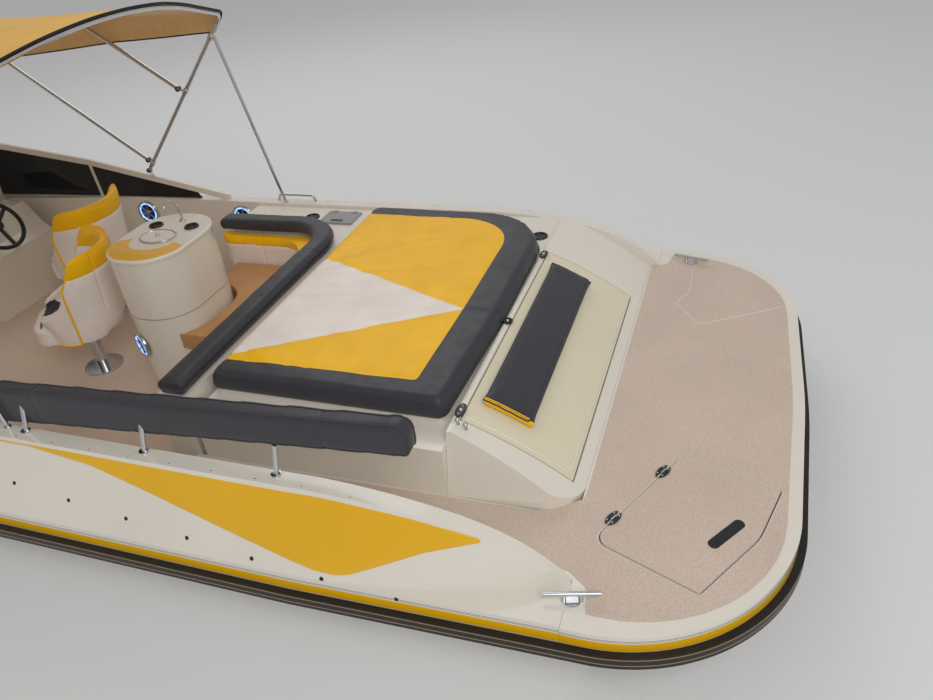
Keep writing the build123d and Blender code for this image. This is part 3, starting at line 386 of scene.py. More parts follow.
# Each finish: its maker, then its colours, as a property's name or a value, and its other settings
FINISHES = {
    "gelcoat_white": (gelcoat, "gelcoat"),
    "gelcoat_striped": (gelcoat, "gelcoat", "yellow_gelcoat"),
    "gelcoat_cream": (gelcoat, "cream"),
    "gelcoat_yellow": (gelcoat, "yellow_gelcoat"),
    "gelcoat_grey": (gelcoat, srgb(150, 150, 152)),
    "nonskid": (nonskid, "nonskid"),
    "vinyl_slate": (vinyl, "slate"),
    "vinyl_yellow": (vinyl, "yellow_vinyl", 0.44),
    "vinyl_white": (vinyl, "white_vinyl", 0.46),
    "vinyl_tan": (vinyl, "tan_vinyl", 0.46),
    "canvas": (canvas, "canvas", "lining"),
    "canvas_edge": (rubber, srgb(22, 20, 24), 0.7),
    "stainless": (metal, srgb(206, 208, 212), 0.06, 0.20),
    "stainless_dark": (metal, srgb(96, 97, 102), 0.08, 0.22),
    "drive_paint": (rubber, srgb(205, 207, 210), 0.28),
    "propeller_steel": (metal, srgb(188, 188, 186), 0.18, 0.36),
    "engine_paint": (rubber, srgb(58, 60, 64), 0.4),
    "rubber_black": (rubber, srgb(20, 20, 22), 0.42),
    "rail_rubber": (rubber, srgb(20, 20, 22), 0.42, RAIL_LINES),
    "plastic_black": (rubber, srgb(26, 26, 29), 0.30),
    "glass_smoked": (smoked_glass, srgb(24, 28, 34)),
    "led_blue": (glow, srgb(120, 170, 255), 2.2),
}


def finish(name):
    """The scene's own material of a finish; the frame's plain ones have names like its slots."""
    label = "boat_" + name
    if label not in bpy.data.materials:
        maker, *settings = FINISHES[name]
        maker(label, *(getattr(colours(), s) if isinstance(s, str) else s for s in settings))
    return bpy.data.materials[label]


# Mesh helpers
def link_object(item):
    bpy.context.scene.collection.objects.link(item)
    return item


def mesh_object(name, points, faces, finishes, slots=None, smooth=True):
    """Object from points and faces, with one or more finishes and each face's slot."""
    mesh = bpy.data.meshes.new(name)
    mesh.from_pydata([tuple(p) for p in points], [], [tuple(f) for f in faces])
    for label in ([finishes] if isinstance(finishes, str) else finishes):
        mesh.materials.append(finish(label))
    if slots is not None:
        mesh.polygons.foreach_set("material_index", slots)
    mesh.polygons.foreach_set("use_smooth", [smooth] * len(mesh.polygons))
    mesh.validate()
    mesh.update()
    return link_object(bpy.data.objects.new(name, mesh))


def settle(item, body, slot, *replaced):
    """Makes a finished piece ride on its body, and stand for the CAD nodes that it replaces."""
    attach(item, body)
    if replaced:
        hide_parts(*replaced)
    return item


def applied(item):
    """The object's mesh with its modifiers applied and its transform kept."""
    bpy.context.view_layer.update()
    graph = bpy.context.evaluated_depsgraph_get()
    mesh = bpy.data.meshes.new_from_object(item.evaluated_get(graph))
    item.modifiers.clear()
    if item.type == "MESH":
        item.data = mesh
        return item
    twin = link_object(bpy.data.objects.new(item.name, mesh))
    twin.matrix_world = item.matrix_world.copy()
    name = item.name
    bpy.data.objects.remove(item)
    twin.name = name
    return twin


def joined(name, items):
    """One object from several meshes, each with its transform applied."""
    made = bmesh.new()
    labels = []
    for item in items:
        part = item.data.copy()
        part.transform(item.matrix_world)
        remap = []
        for material in item.data.materials:
            if material.name not in labels:
                labels.append(material.name)
            remap.append(labels.index(material.name))
        for face in part.polygons:
            face.material_index = remap[face.material_index] if remap else 0
        made.from_mesh(part)
        bpy.data.meshes.remove(part)
        bpy.data.objects.remove(item)
    mesh = bpy.data.meshes.new(name)
    made.to_mesh(mesh)
    made.free()
    for label in labels:
        mesh.materials.append(bpy.data.materials[label])
    return link_object(bpy.data.objects.new(name, mesh))


def rounded(corners, radii, steps=10, close=True):
    """Polygon or open line through corners, each turned by an arc."""
    corners = [Vector(c) for c in corners]
    count = len(corners)
    points = []
    for i, corner in enumerate(corners):
        radius = radii[i] if hasattr(radii, "__len__") else radii
        if not close and i in (0, count - 1) or radius <= 0:
            points.append(corner.copy())
            continue
        back = (corners[i - 1] - corner).normalized()
        ahead = (corners[(i + 1) % count] - corner).normalized()
        angle = back.angle(ahead)
        if abs(angle - math.pi) < 1e-4:
            points.append(corner.copy())
            continue
        reach = radius / math.tan(angle / 2)
        middle = corner + (back + ahead).normalized() * (radius / math.sin(angle / 2))
        start, end = corner + back * reach - middle, corner + ahead * reach - middle
        sweep = start.angle(end)
        for k in range(steps + 1):
            share = k / steps
            mix = (start * math.sin((1 - share) * sweep) + end * math.sin(share * sweep)) / math.sin(sweep)
            points.append(middle + mix)
    return points


def evenly(points, step, close=False):
    """Points at about equal steps along a line."""
    points = [Vector(p) for p in points]
    if close:
        points = points + [points[0]]
    marks = [0.0]
    for a, b in zip(points, points[1:]):
        marks.append(marks[-1] + (b - a).length)
    count = max(2, round(marks[-1] / step))
    out, i = [], 0
    for k in range(count + (0 if close else 1)):
        target = marks[-1] * k / count
        while i < len(marks) - 2 and marks[i + 1] < target:
            i += 1
        span = marks[i + 1] - marks[i]
        out.append(points[i].lerp(points[i + 1], (target - marks[i]) / span if span else 0.0))
    return out


def tube(name, points, radius, label, close=False, smooth_path=False):
    """Round strip or tube along a line of points."""
    curve = bpy.data.curves.new(name, "CURVE")
    curve.dimensions = "3D"
    curve.bevel_depth = radius
    curve.bevel_resolution = 3
    curve.use_fill_caps = True
    curve.resolution_u = 6
    spline = curve.splines.new("NURBS" if smooth_path else "POLY")
    spline.points.add(len(points) - 1)
    for point, place in zip(spline.points, points):
        point.co = (*place, 1.0)
    spline.use_cyclic_u = close
    if smooth_path:
        spline.order_u = 3
        spline.use_endpoint_u = not close
    curve.materials.append(finish(label))
    item = applied(link_object(bpy.data.objects.new(name, curve)))
    item.data.polygons.foreach_set("use_smooth", [True] * len(item.data.polygons))
    return item


def plate(name, outlines, thick, label, edge=0.0):
    """Flat plate in the XY plane with holes, from closed outlines, its edge a little rounded."""
    curve = bpy.data.curves.new(name, "CURVE")
    curve.dimensions = "2D"
    curve.fill_mode = "BOTH"
    curve.extrude = thick / 2 - edge
    curve.bevel_depth = edge
    curve.bevel_resolution = 2
    curve.offset = -edge
    for outline in outlines:
        spline = curve.splines.new("POLY")
        spline.points.add(len(outline) - 1)
        for point, place in zip(spline.points, outline):
            point.co = (place[0], place[1], 0.0, 1.0)
        spline.use_cyclic_u = True
    curve.materials.append(finish(label))
    return applied(link_object(bpy.data.objects.new(name, curve)))


def lathe(name, profile, label, steps=40):
    """Solid of revolution about Z from radius and height pairs."""
    points, faces = [], []
    for k in range(steps):
        turn = 2 * math.pi * k / steps
        points += [(r * math.cos(turn), r * math.sin(turn), z) for r, z in profile]
    rows = len(profile)
    for k in range(steps):
        a, b = k * rows, (k + 1) % steps * rows
        faces += [(a + i, b + i, b + i + 1, a + i + 1) for i in range(rows - 1)]
    return faced(mesh_object(name, points, faces, label), merge=1e-6)


def faced(item, merge=0.0, upward=False):
    """Merges near points if asked for, and turns the faces outward or an open sheet's faces up."""
    made = bmesh.new()
    made.from_mesh(item.data)
    if merge:
        bmesh.ops.remove_doubles(made, verts=made.verts, dist=merge)
    bmesh.ops.recalc_face_normals(made, faces=made.faces)
    if upward and max(made.faces, key=lambda f: f.calc_center_median().z).normal.z < 0:
        bmesh.ops.reverse_faces(made, faces=made.faces)
    made.to_mesh(item.data)
    made.free()
    return item


def stand_on(item, place, up=(0, 0, 1), along=(1, 0, 0)):
    """Puts an item made at the origin on a point, its Z along up and its X near along."""
    up = Vector(up).normalized()
    side = up.cross(Vector(along)).normalized()
    front = side.cross(up)
    turn = Matrix((front, side, up)).transposed().to_4x4()
    item.matrix_world = Matrix.Translation(Vector(place)) @ turn
    return item


def search_tree(*meshes):
    """Search tree over meshes, for laying things on them."""
    points, faces = [], []
    for mesh in meshes:
        start = len(points)
        points += [v.co.copy() for v in mesh.vertices]
        faces += [[start + i for i in face.vertices] for face in mesh.polygons]
    return BVHTree.FromPolygons(points, faces)


def tree_of(*names):
    return search_tree(*[NODES[name].data for name in names])


def distances(points, lines):
    """Distance from each plan point to the nearest of some line segments."""
    best = np.full(len(points), 1e9)
    for (ax, ay), (bx, by) in lines:
        dx, dy = bx - ax, by - ay
        size = dx * dx + dy * dy
        if size == 0:
            continue
        share = np.clip(((points[:, 0] - ax) * dx + (points[:, 1] - ay) * dy) / size, 0, 1)
        gap = np.hypot(points[:, 0] - ax - share * dx, points[:, 1] - ay - share * dy)
        best = np.minimum(best, gap)
    return best


def segments(line, close=True):
    line = [(p[0], p[1]) for p in line]
    return list(zip(line, line[1:] + line[:1])) if close else list(zip(line, line[1:]))


def inside(point, outline):
    x, y = point
    hit = False
    for (ax, ay), (bx, by) in segments(outline):
        if (ay > y) != (by > y) and x < (bx - ax) * (y - ay) / (by - ay) + ax:
            hit = not hit
    return hit


def orientation(ring):
    return sum(ax * by - bx * ay for (ax, ay), (bx, by) in segments(ring))


def outward(ring):
    """Unit vectors that point out of a closed plan outline at its corners."""
    sign = 1 if orientation(ring) > 0 else -1
    return [Vector((by - ay, ax - bx)).normalized() * sign
            for (ax, ay), (bx, by) in zip(ring[-1:] + ring[:-1], ring[1:] + ring[:1])]


# Sewn pad: grid of its top, drop of its top toward the edge, and power of that crown
PAD_STEP, PAD_CROWN, CROWN_POWER = 0.020, 0.006, 2.5
# Width of a seam's dip, and strip along the edge where the wrinkles die out
DIP_WIDE, WRINKLE_FADE = 0.010, 0.080
# Rings of the wall, its swell, and its tuck under the last fifth
WALL_RINGS, WALL_SWELL, WALL_TUCK = 7, 0.007, 0.010


def triangulated(ring, seams):
    """Plan points, triangles, and the ring's places among the points, for a top cut along its seams."""
    fixed = [Vector(p) for p in ring]
    edges = [(i, (i + 1) % len(ring)) for i in range(len(ring))]
    for seam in seams:
        line = evenly([(p[0], p[1], 0) for p in seam], PAD_STEP * 0.5)
        start = len(fixed)
        fixed += [Vector((p.x, p.y)) for p in line]
        edges += [(start + i, start + i + 1) for i in range(len(line) - 1)]
    xs, ys = zip(*ring)
    grid, row, y = [], 0, min(ys)
    while y <= max(ys):
        x = min(xs) + (PAD_STEP / 2 if row % 2 else 0)
        while x <= max(xs):
            grid.append((x, y))
            x += PAD_STEP
        y += PAD_STEP * 0.87
        row += 1
    lines = segments(ring) + [s for seam in seams for s in segments(seam, False)]
    near = distances(np.array(grid), lines)
    inner = [Vector(p) for p, gap in zip(grid, near) if gap > PAD_STEP * 0.45 and inside(p, ring)]
    made = delaunay_2d_cdt(fixed + inner, edges, [], 1, 1e-5)
    places_of = {}
    for i, source in enumerate(made[3]):
        for k in source:
            places_of.setdefault(k, i)
    return np.array([(p.x, p.y) for p in made[0]]), made[2], [places_of[k] for k in range(len(ring))]


def sewn_pad(name, outline, seams, low, high, region, finishes, wrinkle):
    """Pad from its plan outline: a top sewn along seams, a rounded edge and a swelling side wall.

    region gives a face's slot from its middle, and wrinkle adds height. The wall has the first finish.
    """
    edge = sizes().pad_edge
    ring = [(p.x, p.y) for p in evenly([(p[0], p[1], 0) for p in outline], PAD_STEP * 0.6, close=True)]
    plan, triangles, top = triangulated(ring, seams)
    rim = distances(plan, segments(ring))
    fall = np.maximum(0.0, edge - rim)
    height = high - (edge - np.sqrt(np.maximum(edge ** 2 - fall ** 2, 0.0)))
    least, most = np.min(ring, axis=0), np.max(ring, axis=0)
    away = np.abs((plan - (least + most) / 2) / ((most - least) / 2))
    height += PAD_CROWN * (np.clip(1 - away ** CROWN_POWER, 0, 1).prod(axis=1) - 1)
    gap = distances(plan, [s for seam in seams for s in segments(seam, False)])
    height -= sizes().seam_depth * np.exp(-gap / DIP_WIDE)
    height += np.array([wrinkle(x, y) for x, y in plan.tolist()]) * np.clip(rim / WRINKLE_FADE, 0, 1)
    points = [(x, y, z) for (x, y), z in zip(plan.tolist(), height.tolist())]
    faces = [tuple(f) for f in triangles]
    slots = [region(*plan[list(f)].mean(axis=0)) for f in faces]
    # The wall hangs from the outline, ring by ring
    rings = [top]
    for level in range(1, WALL_RINGS + 1):
        share = level / WALL_RINGS
        swell = WALL_SWELL * math.sin(math.pi * share) - WALL_TUCK * max(0.0, share - 0.8) / 0.2
        z = high - edge - PAD_CROWN - (high - edge - low) * share + PAD_CROWN * share
        rings.append(range(len(points), len(points) + len(ring)))
        points += [(x + out.x * swell, y + out.y * swell, z) for (x, y), out in zip(ring, outward(ring))]
    for upper, lower in zip(rings, rings[1:]):
        for k in range(len(ring)):
            n = (k + 1) % len(ring)
            faces.append((upper[k], upper[n], lower[n], lower[k]))
    faces.append(tuple(rings[-1]))
    slots += [0] * (len(faces) - len(slots))
    return faced(mesh_object(name, points, faces, finishes, slots))


# Sunpad
PAD_OUTLINE = ((0.572, 0.748), (0.548, 0.0), (0.560, -1.065), (1.700, -1.085), (1.700, 0.742))
PAD_RADII = (0.045, 3.0, 0.42, 0.06, 0.025)
PAD_TOP_Z, PAD_LOW_Z = 0.790, 0.6803
PANEL_CORNERS = ((0.735, 0.625), (0.725, 0.0), (0.735, -0.960), (1.700, -0.975))
PANEL_RADII = (0.02, 2.5, 0.33, 0.0)
APEX = (0.722, 0.040)
FAN_PORT, FAN_STARBOARD = (1.700, 0.600), (1.700, -0.380)
# Where the folds fan out from, and the heights of folds, creases and rumples
FOLDS_FROM = (2.3, 0.1)
FOLD, CREASE, RUMPLE = 0.0065, 0.0035, 0.0025


def flat(pairs, z=0.0):
    """Points at one height from plan pairs."""
    return [(x, y, z) for x, y in pairs]


def panel_line():
    """Seam between the sunpad's slate border and its coloured panels, from port round to starboard."""
    return rounded(flat(((1.700, 0.632), *PANEL_CORNERS)), (0, *PANEL_RADII), close=False)


def pad_region(x, y):
    """Slot of a place on the sunpad: border, yellow panels or the white fan between them."""
    if not inside((x, y), panel_line()):
        return 0
    port, starboard = (y - APEX[1] - (x - APEX[0]) * (end[1] - APEX[1]) / (end[0] - APEX[0])
                       for end in (FAN_PORT, FAN_STARBOARD))
    return 2 if port < 0 < starboard else 1


def pad_wrinkle(x, y):
    """Shallow folds that fan out aft from the middle of the forward edge."""
    reach = math.hypot(x - FOLDS_FROM[0], y - FOLDS_FROM[1])
    angle = math.atan2(y - FOLDS_FROM[1], FOLDS_FROM[0] - x)
    fold = noise.noise(Vector((angle * 16, reach * 1.3, 0.4)))
    crease = max(0.0, 1 - abs(noise.noise(Vector((angle * 9, reach * 2.1, 7.7)))) / 0.10)
    fan = max(0.0, min(1.0, (x - 0.75) / 0.5))
    return (FOLD * fold - CREASE * crease) * fan + RUMPLE * noise.noise(Vector((x * 5, y * 5, 3.1)))


class DAYBOAT_OT_sunpad(bpy.types.Operator):
    """Sews the sunpad, its slate border, fan of panels and shallow wrinkles"""
    bl_idname = "day_boat.sunpad"
    bl_label = "Sunpad"

    def execute(self, context):
        seams = [panel_line(), (APEX, FAN_PORT), (APEX, FAN_STARBOARD), ((0.5492, 0.04), APEX)]
        pad = sewn_pad("sunpad_cover", rounded(flat(PAD_OUTLINE), PAD_RADII), seams, PAD_LOW_Z, PAD_TOP_Z,
                       pad_region, ["vinyl_slate", "vinyl_yellow", "vinyl_white"], pad_wrinkle)
        settle(pad, "engine_hatch", "vinyl_white", "sunpad")
        return {"FINISHED"}


# Topside panels
# Lower edge of the port panel in X and Z, from its tip forward
PANEL_LOW = ((0.26, 0.600), (0.46, 0.552), (0.62, 0.492), (0.74, 0.448), (0.80, 0.440), (0.88, 0.446),
             (1.27, 0.528), (1.64, 0.610), (1.93, 0.670), (2.36, 0.712), (2.60, 0.716))
# Panel: columns and rows, lift over the moulding, sunk rim, gap under the edge, and least height
PANEL_GRID, PANEL_LIFT, PANEL_SINK, PANEL_GAP, PANEL_LEAST = (90, 14), 0.004, 0.001, 0.006, 0.004
# Half beam of its upper edge, just outside the gunwale cap
PANEL_TOP_Y = ((0.15, 1.249), (0.40, 1.266), (0.70, 1.276), (1.00, 1.280))


def at(table, x):
    """Value of a line through pairs at x."""
    for (ax, ay), (bx, by) in zip(table, table[1:]):
        if x <= bx:
            return ay + (by - ay) * (x - ax) / (bx - ax)
    return table[-1][1]


class DAYBOAT_OT_topsides(bpy.types.Operator):
    """Lays the yellow panels on the sloping topsides"""
    bl_idname = "day_boat.topsides"
    bl_label = "Topside panels"

    def execute(self, context):
        for name, side in (("port", 1), ("starboard", -1)):
            skin = tree_of("side_" + name)
            columns, rows = PANEL_GRID
            points, faces = [], []
            for i in range(columns + 1):
                x = PANEL_LOW[0][0] + (PANEL_LOW[-1][0] - PANEL_LOW[0][0]) * (i / columns) ** 1.2
                top = skin.ray_cast(Vector((x, side * at(PANEL_TOP_Y, x), 2.0)), Vector((0, 0, -1)))[0]
                high = top.z - PANEL_GAP
                low = min(at(PANEL_LOW, x), high - PANEL_LEAST)
                for j in range(rows + 1):
                    z = low + (high - low) * j / rows
                    hit, normal = skin.ray_cast(Vector((x, side * 2.5, z)), Vector((0, -side, 0)))[:2]
                    if hit is None:
                        raise RuntimeError("the topside has no surface at %.2f, %.2f" % (x, z))
                    rim = i in (0, columns) or j in (0, rows)
                    points.append(hit + normal * (-PANEL_SINK if rim else PANEL_LIFT))
            for i in range(columns):
                for j in range(rows):
                    a = i * (rows + 1) + j
                    quad = (a, a + rows + 1, a + rows + 2, a + 1)
                    faces.append(quad if side > 0 else quad[::-1])
            panel = mesh_object("topside_panel_" + name, points, faces, "gelcoat_yellow")
            settle(panel, "root", "gelcoat_yellow")
        return {"FINISHED"}


# Swim platform
PLATFORM_Y = 1.404
CORNER_R = 0.700
# Corners of the port ladder lid, its two hinge corners first
LADDER_LID = ((-0.075, 1.005), (-0.350, 0.460), (-0.745, 0.585), (-0.670, 0.860), (-0.480, 1.165))
LADDER_RADII = (0.060, 0.060, 0.020, 0.250, 0.020)
STARBOARD_SEAM = ((-0.25, -1.28), (-0.25, -0.89), (-0.19, -0.78), (-0.33, -0.57), (-0.74, -0.82))
PULL_SLOT = ((-0.512, 0.958), (-0.618, 0.806), (-0.588, 0.772), (-0.482, 0.924))
# Nonskid: thickness, gap round the ladder lid, border on the lid, and how far the lid stands up
NONSKID_THICK, LID_GAP, LID_BORDER, LID_RISE = 0.0016, 0.004, 0.006, 0.003


def shrunk(outline, amount):
    """Closed plan outline drawn in by an amount."""
    ring = [(p[0], p[1]) for p in outline]
    return [(x - out.x * amount, y - out.y * amount) for (x, y), out in zip(ring, outward(ring))]


class DAYBOAT_OT_platform(bpy.types.Operator):
    """Lays the nonskid on the swim platform, walkway and ladder lid, with the starboard seam and the lid's
    pull slot
    """
    bl_idname = "day_boat.platform"
    bl_label = "Swim platform"

    def execute(self, context):
        margin, thick = sizes().nonskid_margin, NONSKID_THICK
        side, end = PLATFORM_Y - margin, PLATFORM_END_X + margin
        corners = ((-0.012, -1.19), (-0.012, 0.800), (0.16, 0.905), (1.735, 0.925), (1.735, 1.175),
                   (-0.02, 1.165), (-0.10, 1.225), (-0.12, side - 0.02), (end + 0.045, side), (end, 0),
                   (end + 0.045, -side), (-0.12, 0.02 - side), (-0.10, -1.225))
        corner = CORNER_R - margin - 0.06
        radii = (0.02, 0.05, 0.15, 0.03, 0.03, 0.03, 0.03, 0.01, corner, 4.0, corner, 0.01, 0.03)
        lid = rounded(flat(LADDER_LID), LADDER_RADII)
        deck = plate("platform_nonskid", [rounded(flat(corners), radii), shrunk(lid, -LID_GAP)], thick,
                     "nonskid")
        settle(placed(deck, (0, 0, FLOOR_Z + thick / 2)), "root", "nonskid")
        field = plate("ladder_lid_nonskid", [shrunk(lid, LID_BORDER)], thick, "nonskid")
        settle(placed(field, (0, 0, FLOOR_Z + LID_RISE + thick / 2)), "ladder_lid", "nonskid")
        seam = rounded(flat(STARBOARD_SEAM, FLOOR_Z + thick), (0, 0.03, 0.03, 0.05, 0), close=False)
        seam = tube("starboard_lid_seam", evenly(seam, 0.02), 0.0022, "gelcoat_white")
        settle(seam, "root", "gelcoat_white")
        pull = plate("ladder_lid_slot", [rounded(flat(PULL_SLOT), 0.02)], 0.002, "plastic_black")
        settle(placed(pull, (0, 0, FLOOR_Z + LID_RISE + thick + 0.0005)), "ladder_lid", "rubber_black")
        return {"FINISHED"}


# Canopy
BOW_HALF_Y = 1.157
FOOT = Vector((3.450, 0.0, 0.948))
MAIN_UP = math.radians(133.0)
STANDOFF, FRONT_ALONG, MID_ALONG = 0.034, 0.070, 0.740
SHOULDER_R, CROWN_R, CLOTH_OUT = 0.090, 2.200, 0.0225
# Cloth: rows from bow to bow, sag between them at the middle and at the hems, ripple, and its edges
SPAN_ROWS, SAG_MIDDLE, SAG_EDGE, RIPPLE = 12, 0.014, 0.002, 0.002
PIPING_R, HEM_R = 0.006, 0.004


def on_leg(along):
    return Vector((FOOT.x + along * math.cos(MAIN_UP) + STANDOFF * math.sin(MAIN_UP), 0.0,
                   FOOT.z + along * math.sin(MAIN_UP) - STANDOFF * math.cos(MAIN_UP)))


# Each bow: foot, elevation, leg, crown, half width, hem
BOWS = (
    (FOOT, MAIN_UP, 1.345, 1.765, BOW_HALF_Y, 1.208),
    (on_leg(MID_ALONG), math.radians(34.6), 0.740, 1.130, BOW_HALF_Y - STANDOFF, 0.500),
    (on_leg(FRONT_ALONG), math.radians(36.2), 1.290, 1.680, BOW_HALF_Y, 1.180),
)


def cloth_line(foot, up, leg, crown, half, hem, count=72):
    """Evenly spaced points over a bow from one hem to the other."""
    out = CLOTH_OUT + BOW_HALF_Y - half
    slope = math.atan2(crown - leg, half)
    crown += out / math.cos(slope)
    corner = crown - (half + out) * math.tan(slope)
    wide = half + out
    arch = flat(((wide, hem), (wide, corner), (0, crown), (-wide, corner), (-wide, hem)))
    line = rounded(arch, (0, SHOULDER_R, CROWN_R, SHOULDER_R, 0), steps=16, close=False)
    total = sum((b - a).length for a, b in zip(line, line[1:]))
    return [Vector((foot.x + p.y * math.cos(up), p.x, foot.z + p.y * math.sin(up)))
            for p in evenly(line, total / count)][:count + 1]


class DAYBOAT_OT_canopy(bpy.types.Operator):
    """Stretches the canopy over its three bows, with piped edges"""
    bl_idname = "day_boat.canopy"
    bl_label = "Canopy"

    def execute(self, context):
        rows = self.rows()
        columns = len(rows[0])
        faces = [(a, a + 1, a + columns + 1, a + columns)
                 for r in range(len(rows) - 1) for a in range(r * columns, (r + 1) * columns - 1)]
        sheet = faced(mesh_object("canopy_sheet", [p for row in rows for p in row], faces, "canvas"),
                      upward=True)
        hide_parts("bimini_canopy")
        aft = tube("canopy_piping_aft", rows[0], PIPING_R, "canvas_edge")
        settle(aft, "root", "canvas_yellow")
        fore = tube("canopy_piping_fore", rows[-1], PIPING_R, "canvas_edge")
        settle(fore, "bimini_front", "canvas_yellow")
        hem = joined("canopy_hems", [tube("canopy_hem_%d" % i, [row[i] for row in rows], HEM_R, "canvas_edge")
                                     for i in (0, -1)])
        start, end = (foot + Vector((math.cos(up), 0, math.sin(up))) * crown
                      for foot, up, _, crown, _, _ in (BOWS[0], BOWS[-1]))
        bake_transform(sheet)
        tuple(start)
        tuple(end)
        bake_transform(hem)
        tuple(start)
        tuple(end)
        return {"FINISHED"}

    def rows(self):
        """Rows of points across the boat, sagging and rippling a little between the bows."""
        lines = [cloth_line(*bow) for bow in BOWS]
        last = len(lines[0]) - 1
        rows = []
        for step in range(SPAN_ROWS * (len(lines) - 1) + 1):
            span = min(step // SPAN_ROWS, len(lines) - 2)
            share = (step - span * SPAN_ROWS) / SPAN_ROWS
            row = []
            for i, (p, q) in enumerate(zip(lines[span], lines[span + 1])):
                across = 2 * i / last - 1
                sag = 4 * share * (1 - share) * (SAG_MIDDLE * (1 - abs(across) ** 3) + SAG_EDGE)
                ripple = RIPPLE * noise.noise(Vector((across * 6, (span + share) * 3, 0.7)))
                row.append(p.lerp(q, share) + Vector((0, 0, ripple - sag)))
            rows.append(row)
        return rows


# Upholstery
def cad_copy(name, node, turn=None):
    """Free copy of a CAD solid, to be worked into a soft form."""
    mesh = NODES[node].data.copy()
    mesh.name = name
    mesh.materials.clear()
    if turn:
        mesh.transform(turn)
    return link_object(bpy.data.objects.new(name, mesh))


def places(item, key="co"):
    """Table of an item's points, or of their normals."""
    table = np.empty(len(item.data.vertices) * 3)
    item.data.vertices.foreach_get(key, table)
    return table.reshape(-1, 3)


def normals(item):
    return places(item, "normal")


def moved_to(item, table):
    item.data.vertices.foreach_set("co", table.ravel())
    item.data.update()


# Stuffing: pressure and frames of the cloth simulation
PRESSURE, CLOTH_FRAMES = 4.0, 20


def stuffed(name, node, voxel=0.012, inset=0.006, cap=0.012, turn=None):
    """Padded form of a CAD solid: drawn in, remeshed, blown up as cloth, and flat where it rests."""
    item = cad_copy(name, node, turn)
    solid = places(item)
    low, high = solid.min(axis=0), solid.max(axis=0)
    skin = item.modifiers.new("skin", "REMESH")
    skin.mode = "VOXEL"
    skin.voxel_size = voxel
    applied(item)
    moved_to(item, places(item) - normals(item) * inset)
    ease = item.modifiers.new("ease", "SMOOTH")
    ease.factor, ease.iterations = 0.5, 4
    applied(item)
    start = places(item)
    scene = bpy.context.scene
    scene.frame_set(1)
    cloth = item.modifiers.new("stuffing", "CLOTH")
    cloth.settings.use_pressure = True
    cloth.settings.uniform_pressure_force = PRESSURE
    cloth.settings.effector_weights.gravity = 0.0
    for step in range(1, CLOTH_FRAMES + 1):
        scene.frame_set(step)
    applied(item)
    scene.frame_set(1)
    shift = places(item) - start
    size = np.linalg.norm(shift, axis=1, keepdims=True) + 1e-9
    shift *= cap * np.tanh(size / cap) / size
    table = start + shift
    table[:, 2] = np.maximum(table[:, 2], low[2])
    moved_to(item, np.clip(table, low - inset, high + inset))
    fine = item.modifiers.new("fine", "SUBSURF")
    fine.levels = fine.render_levels = 1
    return applied(item)


def sewn(item, seams, depth=0.005, width=0.006, fold=0.0012):
    """Sinks a groove where a seam's distance is small, and adds shallow folds between the seams."""
    table, out = places(item), normals(item)
    gap = np.min([seam(table) for seam in seams], axis=0) if seams else np.full(len(table), 1.0)
    ripple = np.array([noise.noise(Vector(p) * 8.0) for p in table.tolist()])
    rise = fold * ripple * np.clip(gap / 0.03, 0, 1) - depth * np.exp(-gap / width)
    moved_to(item, table + out * rise[:, None])


def painted(item, finishes, region=None):
    """Gives each face the finish that its middle and direction ask for."""
    mesh = item.data
    mesh.materials.clear()
    for label in finishes:
        mesh.materials.append(finish(label))
    if region:
        slots = [region(face.center, face.normal) for face in mesh.polygons]
        mesh.polygons.foreach_set("material_index", slots)
    mesh.polygons.foreach_set("use_smooth", [True] * len(mesh.polygons))


def welts(item, lines, label, radius=0.004, close=True):
    """Piping laid on a pad along lines near its surface."""
    tree = search_tree(item.data)
    made = []
    for k, line in enumerate(lines):
        points = []
        for place in evenly(line, 0.015, close):
            hit, out = tree.find_nearest(place)[:2]
            points.append(hit + out * radius * 0.4)
        made.append(tube("%s_welt_%d" % (item.name, k), points, radius, label, close=close))
    return made


def upholstered(item, extras, body, slot, node):
    """Joins a pad and its piping, and lets it stand for its CAD solid."""
    name = item.name
    item.name = name + "_core"
    pad = joined(name, [item, *extras])
    settle(pad, body, slot, node)


def level(z):
    return lambda table: np.abs(table[:, 2] - z)


def cross_seam(axis, value, beyond=None):
    """Seam in a plane across an axis, kept to one side of a plane across another axis."""
    def gap(table):
        away = np.abs(table[:, axis] - value)
        if beyond:
            other, limit, sign = beyond
            away = away + np.where((table[:, other] - limit) * sign > 0, 0.0, 1.0)
        return away
    return gap


ROLL_Z = 0.7623
ROLL_SEAM_Z = ROLL_Z - 0.014
# Seams across a pad: axis, place, and the axis, limit and side that each is kept to
ROLL_SEAMS = ((1, -0.42, (0, 1.95, -1)), (0, 2.22, (1, -0.6, -1)))
BACK_SEAMS = ((1, -0.16, (0, 2.2, -1)), (0, 2.34, (1, -0.5, -1)))
BOLSTER_SEAMS = (0.86, 2.24)
# Side outline of the port bolster, with the radius of each corner
BOLSTER = ((0.505, 0.880), (2.590, 0.715), (2.590, 0.905), (0.505, 1.025))
BOLSTER_RADII = (0.040, 0.040, 0.060, 0.050)
BOLSTER_Y, BOLSTER_HALF = 1.160, 0.035
CUSHION_PLAN = ((0.252, -0.618), (0.455, -0.618), (0.455, 0.618), (0.252, 0.618))
YELLOW_END_Y = 0.604
LOUNGE_AFT_X, LOUNGE_STBD_Y, LOUNGE_FWD_X = 1.983, -0.707, 2.555
NOOK_R, BACK_SEAM_Z = 0.220, 0.652
BOW_PAD =((5.560, 0.780), (6.660, 0.290), (6.660, 0.060), (5.560, 0.420))
BOW_PAD_TOP = 0.520
SWIVELS = {"companion": ((3.170, 0.050), 35.0), "helm": ((3.650, -0.600), 0.0)}
SWIVEL_Z, SHELL_TOP_Z, SHELL_LOW_R, SHELL_HIGH_R = 0.440, 0.985, 0.236, 0.300
